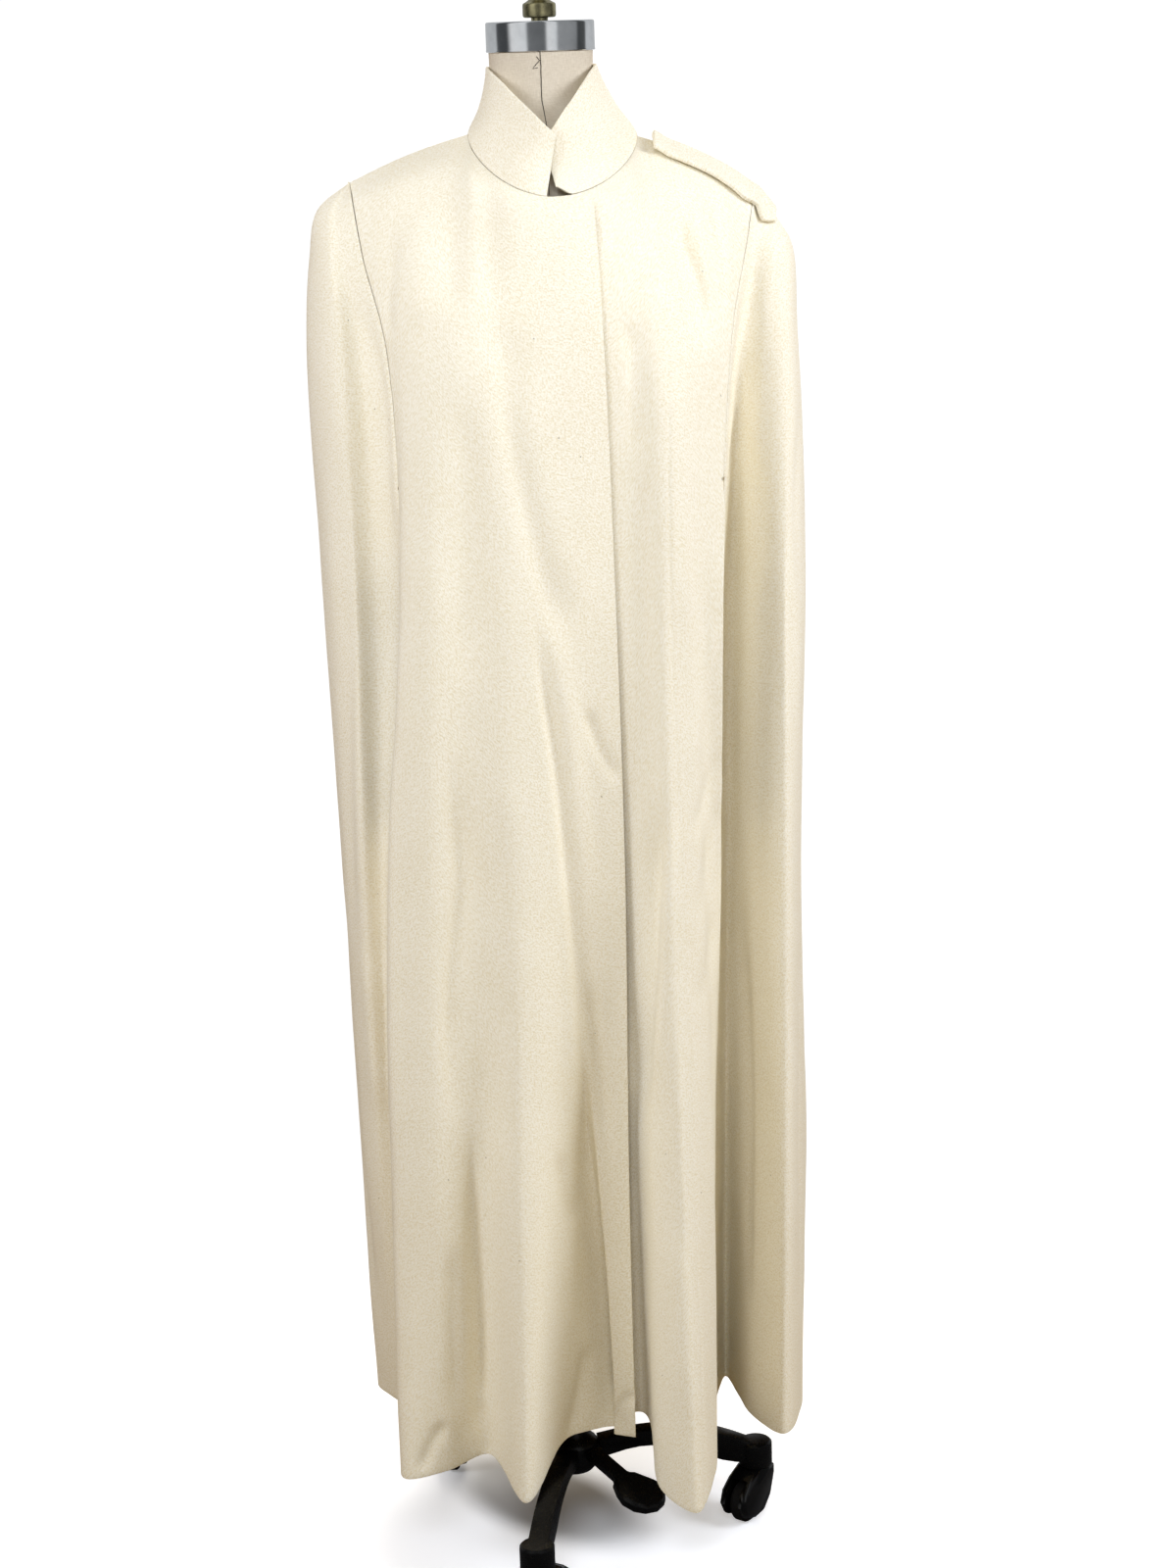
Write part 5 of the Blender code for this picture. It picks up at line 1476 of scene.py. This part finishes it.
TORSO = (
    Oval(1.6417, 0.0535, 0.0535, 0.0535, 2.0),
    Oval(1.6000, 0.0530, 0.0540, 0.0550, 2.0),
    Oval(1.5800, 0.0560, 0.0550, 0.0560, 2.0),
    Oval(1.5680, 0.0610, 0.0560, 0.0560, 2.0),
    Oval(1.5590, 0.0655, 0.0520, 0.0460, 1.7),
    Oval(1.5492, 0.1020, 0.0390, 0.0290, 1.25),
    Oval(1.5280, 0.1300, 0.0580, 0.0520, 1.4),
    Oval(1.5060, 0.1560, 0.0680, 0.0650, 1.6),
    Oval(1.4850, 0.1740, 0.0800, 0.0780, 1.8),
    Oval(1.4500, 0.1810, 0.0930, 0.0880, 2.0),
    Oval(1.4000, 0.1730, 0.1080, 0.0960, 2.1),
    Oval(1.3500, 0.1560, 0.1140, 0.0980, 2.1),
    Oval(1.2600, 0.1400, 0.1040, 0.0920, 2.1),
    Oval(1.1500, 0.1220, 0.0900, 0.0850, 2.1),
    Oval(1.1000, 0.1200, 0.0880, 0.0870, 2.1),
    Oval(1.0000, 0.1400, 0.0950, 0.1020, 2.1),
    Oval(0.9200, 0.1520, 0.0980, 0.1120, 2.1),
    Oval(0.8600, 0.1480, 0.0950, 0.1080, 2.1),
)


class Turned(NamedTuple):
    """A point on the profile of a turned piece."""

    radius: float
    height: float


FINIAL = (
    Turned(0.0, 0.0500), Turned(0.0050, 0.0494), Turned(0.0100, 0.0460), Turned(0.0128, 0.0410),
    Turned(0.0130, 0.0360), Turned(0.0112, 0.0310), Turned(0.0094, 0.0275), Turned(0.0096, 0.0240),
    Turned(0.0112, 0.0205), Turned(0.0140, 0.0186), Turned(0.0164, 0.0172), Turned(0.0170, 0.0158),
    Turned(0.0171, 0.0110), Turned(0.0171, 0.0062), Turned(0.0166, 0.0042), Turned(0.0150, 0.0032),
    Turned(0.0090, 0.0030), Turned(0.0086, 0.0016), Turned(0.0086, 0.0), Turned(0.0, 0.0),
)


@dataclass
class Form:
    """The limbless form: a linen-covered torso, a metal neck cap and a turned finial."""

    centre: tuple[float, float] = (0.002, 0.000)
    shift: float = 0.0045
    lean: float = 0.0250
    shifted: tuple[float, float] = (1.60, 1.56)  # the heights where the shift and lean set in
    sides: int = 96
    steps: int = 4
    rim_angle: float = 50.0
    seam_foot: float = 1.50
    seam_points: int = 40
    thread: float = 0.84 * MM
    wander: float = 0.35 * MM
    wander_pitch: float = 90.0
    proud: float = 0.05 * MM
    tail: tuple[tuple[float, float], ...] = (
        (-0.002, 1.637), (0.001, 1.633), (-0.003, 1.629), (-0.006, 1.625), (-0.001, 1.626),
    )
    falling_away: float = 10.0  # of the neck from its middle, per metre
    cap_radius: float = 0.0560
    cap_bottom: float = 1.6420
    cap_top: float = 1.6720
    cap_round: float = 2.0 * MM
    cap_wall: float = 0.2 * MM  # how far the wall lies inside the lip
    lip: float = 2.2 * MM
    cap_seat: float = 0.3 * MM

    def ring(self, oval: np.ndarray) -> list[tuple[float, float, float]]:
        """The points of a level section, from the middle front and clockwise."""
        z, half_width, front, back, power = oval
        lower = float(smoothstep(*self.shifted, z))
        points = []
        for a in np.linspace(0.0, -2.0 * math.pi, self.sides + 1):
            wide = math.copysign(abs(math.sin(a)) ** (2.0 / power), math.sin(a))
            deep = math.copysign(abs(math.cos(a)) ** (2.0 / power), math.cos(a))
            x, y = half_width * wide, -(front if deep > 0 else back) * deep
            at_x = self.centre[0] + self.shift * lower + x
            points.append((at_x, self.centre[1] + y, z - self.lean * lower * x))
        return points

    def build_torso(self) -> bpy.types.Object:
        """Make the linen cover, closed above and below."""
        table = through(np.array(TORSO), spread([self.steps] * (len(TORSO) - 1)))
        grid = np.array([self.ring(oval) for oval in table])
        mesh = sheet_mesh("form_cover", grid, laid_flat(grid))
        work = bmesh.new()
        work.from_mesh(mesh)
        bmesh.ops.remove_doubles(work, verts=work.verts, dist=0.05 * MM)
        bmesh.ops.holes_fill(work, edges=[edge for edge in work.edges if edge.is_boundary])
        work.to_mesh(mesh)
        work.free()
        mesh.set_sharp_from_angle(angle=math.radians(self.rim_angle))
        return put("form_cover", mesh, "form", (LINEN,), ("form_torso",))

    def build_seam(self) -> bpy.types.Object:
        """Make the dark stitched line down the middle of the neck, and its loose tail."""
        heights = np.linspace(self.cap_bottom - 0.5 * MM, self.seam_foot, self.seam_points)
        ovals = np.array(TORSO)[::-1]
        middle, level = self.centre
        seam, tail = [], []
        for z, front in zip(heights, np.interp(heights, ovals[:, 0], ovals[:, 2])):
            x = middle + self.shift * float(smoothstep(*self.shifted, z))
            x += self.wander * noise.noise(Vector((0.0, 0.0, z * self.wander_pitch)))
            seam.append((x, level - front - self.proud, z))
        for x, z in self.tail:
            front = float(np.interp(z, ovals[:, 0], ovals[:, 2]))
            tail.append((x, level - front + self.falling_away * (x - middle) ** 2, z))
        return threads("neck_seam", (seam, tail), self.thread, THREAD)

    def build_cap(self) -> bpy.types.Object:
        """Make the spun metal cap, with a rolled lower lip."""
        r, low, high = self.cap_radius, self.cap_bottom, self.cap_top
        flat, wall = r - self.cap_wall - self.cap_round, r - self.cap_wall
        profile = [(0.0, high), (flat, high)]
        for turn in (20.0, 40.0, 60.0, 80.0):
            a = math.radians(turn)
            fall = self.cap_round * (1 - math.cos(a))
            profile.append((flat + self.cap_round * math.sin(a), high - fall))
        profile += [(wall, high - self.lip), (wall, low + self.lip)]
        profile += [(r, low + 1.6 * MM), (r, low + 0.5 * MM), (r - 0.6 * MM, low), (0.0, low)]
        mesh = spun(profile, self.centre, 128)
        return put("neck_cap_spun", mesh, "form", (STEEL,), ("neck_cap",))

    def build_finial(self) -> bpy.types.Object:
        """Make the turned finial on the cap, with a spigot at its foot."""
        foot = self.cap_top + self.cap_seat
        rounded, spigot = np.array(FINIAL[:-2]), FINIAL[-2:]
        fine = through(rounded, np.linspace(0.0, len(rounded) - 1.0, 60))
        profile = [(max(0.0, radius), foot + height) for radius, height in (*fine, *spigot)]
        mesh = spun(profile, self.centre, 64)
        return put("finial_turned", mesh, "form", (BRASS,), ("finial",))

    def build(self) -> None:
        """Make the whole form."""
        for made in (self.build_torso(), self.build_seam(), self.build_cap(), self.build_finial()):
            log.info("%s is in place", made.name)


# ---------------------------------------------------------------- the base


@dataclass
class Base:
    """The cast base: a hub on three legs with hooded casters, a height tube and a foot pedal."""

    hub: tuple[float, float] = (-0.013, -0.021)
    hub_radius: float = 0.028
    hub_bottom: float = 0.080
    hub_top: float = 0.119
    sleeve_radius: float = 0.0165
    sleeve_bore: float = 0.0127
    sleeve_top: float = 0.460
    sleeve_floor: float = 0.092
    pole_radius: float = 0.0122
    pole_top: float = 0.8597
    pole_bottom: float = 0.205
    sides: int = 64
    flat: float = 1.0  # CAD facets that meet at less than this many degrees are one face
    eased: float = 40.0  # and edges that turn by more than this many are eased
    shaded: float = 38.0

    def refined(
        self, node: str, name: str, finish: Finish, radius: float
    ) -> bpy.types.Object:
        """Make a copy of a hard CAD node with its facets joined and its edges eased.

        Args:
            node: The CAD node, which the piece replaces.
            name: The piece's name.
            finish: Its finish.
            radius: How far its edges are eased.

        Returns:
            The piece.
        """
        work = bmesh.new()
        work.from_mesh(frame["nodes"][node].data)
        bmesh.ops.remove_doubles(work, verts=work.verts, dist=JOINED)
        flat = math.radians(self.flat)
        bmesh.ops.dissolve_limit(work, angle_limit=flat, verts=work.verts, edges=work.edges)
        if radius > 0.0:
            turn = math.radians(self.eased)
            sharp = [e for e in work.edges if e.is_manifold and e.calc_face_angle(0.0) > turn]
            bmesh.ops.bevel(
                work,
                geom=sharp,
                offset=radius,
                offset_type="OFFSET",
                affect="EDGES",
                segments=2,
                profile=0.5,
                material=-1,
                clamp_overlap=True,
            )
        made = to_mesh(work, name)
        made.shade_smooth()
        made.set_sharp_from_angle(angle=math.radians(self.shaded))
        bodies = frame["record"]["behaviour"]["bodies"]
        body = next(body for body, nodes in bodies.items() if node in nodes)
        return put(name, made, body, (finish,), (node,))

    def build_hub(self) -> None:
        """Make the hub with its sleeve."""
        r, top, low = self.hub_radius, self.hub_top, self.hub_bottom
        sleeve, bore, brim = self.sleeve_radius, self.sleeve_bore, self.sleeve_top
        profile = [
            (bore, brim), (sleeve - 0.6 * MM, brim), (sleeve, brim - 0.6 * MM),
            (sleeve, top + 10.0 * MM), (sleeve + 1.2 * MM, top + 5.0 * MM), (0.021, top),
            (r - 2.0 * MM, top - 4.0 * MM),
            (r - 0.5 * MM, top - 6.5 * MM), (r, top - 9.0 * MM), (r, low + 9.0 * MM),
            (r - 1.5 * MM, low + 5.0 * MM), (0.022, low), (0.0, low),
        ]
        inside = [(0.0, self.sleeve_floor), (bore, self.sleeve_floor), (bore, brim)]
        mesh = spun(profile, self.hub, self.sides)
        work = bmesh.new()
        work.from_mesh(mesh)
        work.from_mesh(spun(inside, self.hub, self.sides))
        bmesh.ops.remove_doubles(work, verts=work.verts, dist=JOINED)
        bmesh.ops.recalc_face_normals(work, faces=work.faces)
        work.to_mesh(mesh)
        work.free()
        mesh.set_sharp_from_angle(angle=TURNED_EDGE)
        put("hub_casting", mesh, "stand", (ENAMEL,), ("hub",))

    def build_pole(self) -> None:
        """Make the height tube, which rises with the form."""
        r, top, low = self.pole_radius, self.pole_top, self.pole_bottom
        profile = [(0.0, top), (r, top), (r, low + 1.0 * MM), (r - 1.0 * MM, low), (0.0, low)]
        mesh = spun(profile, self.hub, self.sides)
        put("height_tube", mesh, "form", (STEEL,), ("pole",))

    def build(self) -> None:
        """Make the whole base."""
        self.build_hub()
        self.build_pole()
        for name in ("front", "left", "rear"):
            self.refined(f"leg_{name}", f"leg_{name}_casting", ENAMEL, 0.8 * MM)
            self.refined(f"caster_{name}_hood", f"caster_{name}_shell", GLOSS, 0.0)
            self.refined(f"caster_{name}_wheel", f"caster_{name}_tyre", RUBBER, 0.5 * MM)
            log.info("the %s leg is in place", name)
        self.refined("pedal", "pedal_casting", ENAMEL, 0.6 * MM)


# ---------------------------------------------------------------- the studio


class SoftBox(NamedTuple):
    """A soft light: where it stands, the point that it faces, its size, its power and its tint."""

    name: str
    at: tuple[float, float, float]
    aim: tuple[float, float, float]
    size: tuple[float, float]
    watts: float
    tint: str

    def build(self) -> None:
        """Add it to the scene."""
        lamp = bpy.data.lights.new(self.name, "AREA")
        lamp.shape = "RECTANGLE"
        lamp.size, lamp.size_y = self.size
        lamp.energy = self.watts
        lamp.color = linear(self.tint)[:3]
        piece = bpy.data.objects.new(self.name, lamp)
        piece.location = self.at
        way = Vector(self.aim) - Vector(self.at)
        piece.rotation_euler = way.to_track_quat("-Z", "Y").to_euler()
        piece.visible_glossy = False
        bpy.context.scene.collection.objects.link(piece)


CHEST = (0.0, 0.0, 1.30)
YOKE = (0.0, 0.0, 1.40)
SOFT_BOXES = (
    SoftBox("high soft box", (-0.10, -2.90, 2.70), YOKE, (1.3, 1.0), 44.0, "#EDF3FF"),
    SoftBox("left soft box", (-2.35, -1.65, 2.45), CHEST, (1.4, 1.4), 53.0, "#EDF3FF"),
    SoftBox("right soft box", (2.60, -1.05, 2.20), CHEST, (1.4, 1.4), 72.0, "#EDF3FF"),
    SoftBox("back soft box", (0.40, 3.20, 3.00), CHEST, (2.4, 1.8), 120.0, "#FFFAF0"),
)


@dataclass
class Studio:
    """A white studio: four soft boxes, a pale floor that melts away, and the camera.

    What the camera sees as white isn't what lights the part. The soft boxes do that, with a dim
    warm surround and a paler dome in front and above. The metal mirrors upright bands of its own.
    """

    eye: tuple[float, float, float] = (0.027, -3.30, 1.655)
    pitch: float = 13.4
    roll: float = 1.8
    lens: float = 72.0
    film: float = 36.0
    white: float = 1.05
    ambient: float = 0.15
    ambient_tint: str = "#FFB040"
    dome: float = 0.27
    dome_tint: str = "#FFEECB"
    dome_axis: tuple[float, float, float] = (0.10, -0.77, 0.63)
    dome_edge: tuple[float, float] = (-0.4, 0.9)
    mirrored: tuple[tuple[float, str], ...] = (
        (0.00, "#C4C6C8"), (0.20, "#D2D4D6"), (0.215, "#56585A"), (0.295, "#4A4C4E"),
        (0.325, "#FFFFFF"), (0.415, "#F4F6F8"), (0.430, "#7E8082"), (0.530, "#6E7072"),
        (0.545, "#FFFFFF"), (0.595, "#F6F8FA"), (0.610, "#A8AAAC"), (0.730, "#96989A"),
        (0.745, "#4A4C4E"), (0.805, "#565858"), (0.820, "#D6D8DA"), (1.00, "#C4C6C8"),
    )
    floor_half: float = 1.5
    floor_fade: tuple[float, float] = (0.45, 1.00)
    floor_glow: float = 0.42
    floor_tint: str = "#F8F9FB"
    floor_cast: str = "#8A7340"  # what the floor throws back on the part
    floor_mirrored: str = "#5C5C5E"
    # a painted shadow: in a soft oval patch under the base the floor's colour turns to this tint and
    # its glow fades
    shadow_tint: str = "#D2D2D0"
    shadow_at: tuple[float, float, float] = (-0.045, 0.060, 0.0)
    shadow_turn: float = 130.6
    shadow_size: tuple[float, float, float] = (0.16, 0.08, 1.0)
    shadow_edge: tuple[float, float] = (0.6, 1.2)

    def build_floor(self) -> None:
        """Make the pale floor, with a painted shadow under the base, which melts into the white
        surround away from the base.
        """
        paint = bpy.data.materials.new("pale floor")
        paint.use_nodes = True
        tree = paint.node_tree
        shader = tree.nodes["Principled BSDF"]
        place = add_node(tree, "TexCoord"), "Object"
        mapping = {
            "Vector": place,
            "Location": self.shadow_at,
            "Rotation": (0.0, 0.0, math.radians(self.shadow_turn)),
            "Scale": self.shadow_size,
        }
        patch = add_node(tree, "Mapping", mapping, vector_type="TEXTURE"), "Vector"
        from_base = add_node(tree, "VectorMath", {0: patch}, operation="LENGTH"), "Value"
        # painted shadow: the floor's colour darkens and its glow dims inside the patch under the base
        outside_painted_shadow = graded(tree, from_base, *self.shadow_edge, smooth=True)
        look = {
            "Base Color": ramp(tree, outside_painted_shadow, [(0.0, self.shadow_tint), (1.0, self.floor_tint)]),
            "Roughness": 0.7,
            "Emission Color": linear("#FFFFFF"),
            "Emission Strength": maths(tree, "MULTIPLY", outside_painted_shadow, self.floor_glow),
        }
        set_inputs(tree, shader, look)
        away = add_node(tree, "VectorMath", {0: place}, operation="LENGTH"), "Value"
        fade = graded(tree, away, *self.floor_fade, smooth=True)
        clear = add_node(tree, "BsdfTransparent"), "BSDF"
        both = either(tree, fade, (shader, "BSDF"), clear)
        path = add_node(tree, "LightPath")
        cast, mirrored = linear(self.floor_cast), linear(self.floor_mirrored)
        thrown = blended(tree, (path, "Is Glossy Ray"), cast, mirrored)
        dim = add_node(tree, "BsdfDiffuse", {"Color": thrown}), "BSDF"
        seen = either(tree, (path, "Is Camera Ray"), dim, both)
        set_inputs(tree, tree.nodes["Material Output"], {"Surface": seen})
        work = bmesh.new()
        bmesh.ops.create_grid(work, x_segments=8, y_segments=8, size=self.floor_half)
        mesh = to_mesh(work, "floor")
        mesh.materials.append(paint)
        floor = bpy.data.objects.new("floor", mesh)
        bpy.context.scene.collection.objects.link(floor)

    def build_surround(self) -> None:
        """Make the white surround, with what lights the part and what the metal mirrors."""
        world = bpy.data.worlds.new("white surround")
        world.use_nodes = True
        tree = world.node_tree
        shown = {"Color": linear("#FFFFFF"), "Strength": self.white}
        set_inputs(tree, tree.nodes["Background"], shown)
        white = tree.nodes["Background"], "Background"
        low, high = (
            (add_node(tree, "Background", {"Color": linear(tint), "Strength": power}), "Background")
            for tint, power in ((self.ambient_tint, self.ambient), (self.dome_tint, self.dome))
        )
        spot = add_node(tree, "TexCoord"), "Generated"
        axis = {0: spot, 1: self.dome_axis}
        towards = add_node(tree, "VectorMath", axis, operation="DOT_PRODUCT"), "Value"
        soft = either(tree, graded(tree, towards, *self.dome_edge, smooth=True), low, high)
        way = add_node(tree, "SeparateXYZ", {"Vector": spot})
        ahead = maths(tree, "MULTIPLY", (way, "Y"), -1.0)
        turn = maths(tree, "ARCTAN2", (way, "X"), ahead)
        bands = ramp(tree, graded(tree, turn, -math.pi, math.pi), self.mirrored)
        mirror = add_node(tree, "Background", {"Color": bands}), "Background"
        path = add_node(tree, "LightPath")
        unseen = either(tree, (path, "Is Glossy Ray"), soft, mirror)
        both = either(tree, (path, "Is Camera Ray"), unseen, white)
        set_inputs(tree, tree.nodes["World Output"], {"Surface": both})
        bpy.context.scene.world = world

    def build_camera(self) -> None:
        """Make the camera."""
        lens = bpy.data.cameras.new("camera")
        lens.lens = self.lens
        lens.sensor_width = self.film
        lens.clip_end = 100.0
        camera = bpy.data.objects.new("camera", lens)
        tilt = Matrix.Rotation(math.radians(90.0 - self.pitch), 4, "X")
        turn = Matrix.Rotation(math.radians(-self.roll), 4, "Z")
        camera.matrix_world = Matrix.Translation(self.eye) @ tilt @ turn
        bpy.context.scene.collection.objects.link(camera)
        bpy.context.scene.camera = camera

    def build(self) -> None:
        """Make the camera, the floor, the white surround and the lights."""
        self.build_camera()
        self.build_floor()
        self.build_surround()
        for box in SOFT_BOXES:
            box.build()
        bpy.context.scene.view_settings.view_transform = "Standard"


# ---------------------------------------------------------------- the whole


class Cut(NamedTuple):
    """How much cloth shows in a piece: its two flat sizes in metres, and its area."""

    flat: tuple[float, float]
    area: float


def main() -> None:
    """Build the studio, the form, the cape and the base in order."""
    logging.basicConfig(level=logging.INFO, format="%(name)s: %(message)s")
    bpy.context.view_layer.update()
    Studio().build()
    Form().build()
    cape = Cape()
    pieces = cape.build()
    pieces["collar"] = Collar(cape.neck).build()
    under = [pieces[name] for name in ("front_left", "side_left", "back")]
    pieces["epaulette"] = Strap().build(under)
    Base().build()


if __name__ == "__main__":
    main()
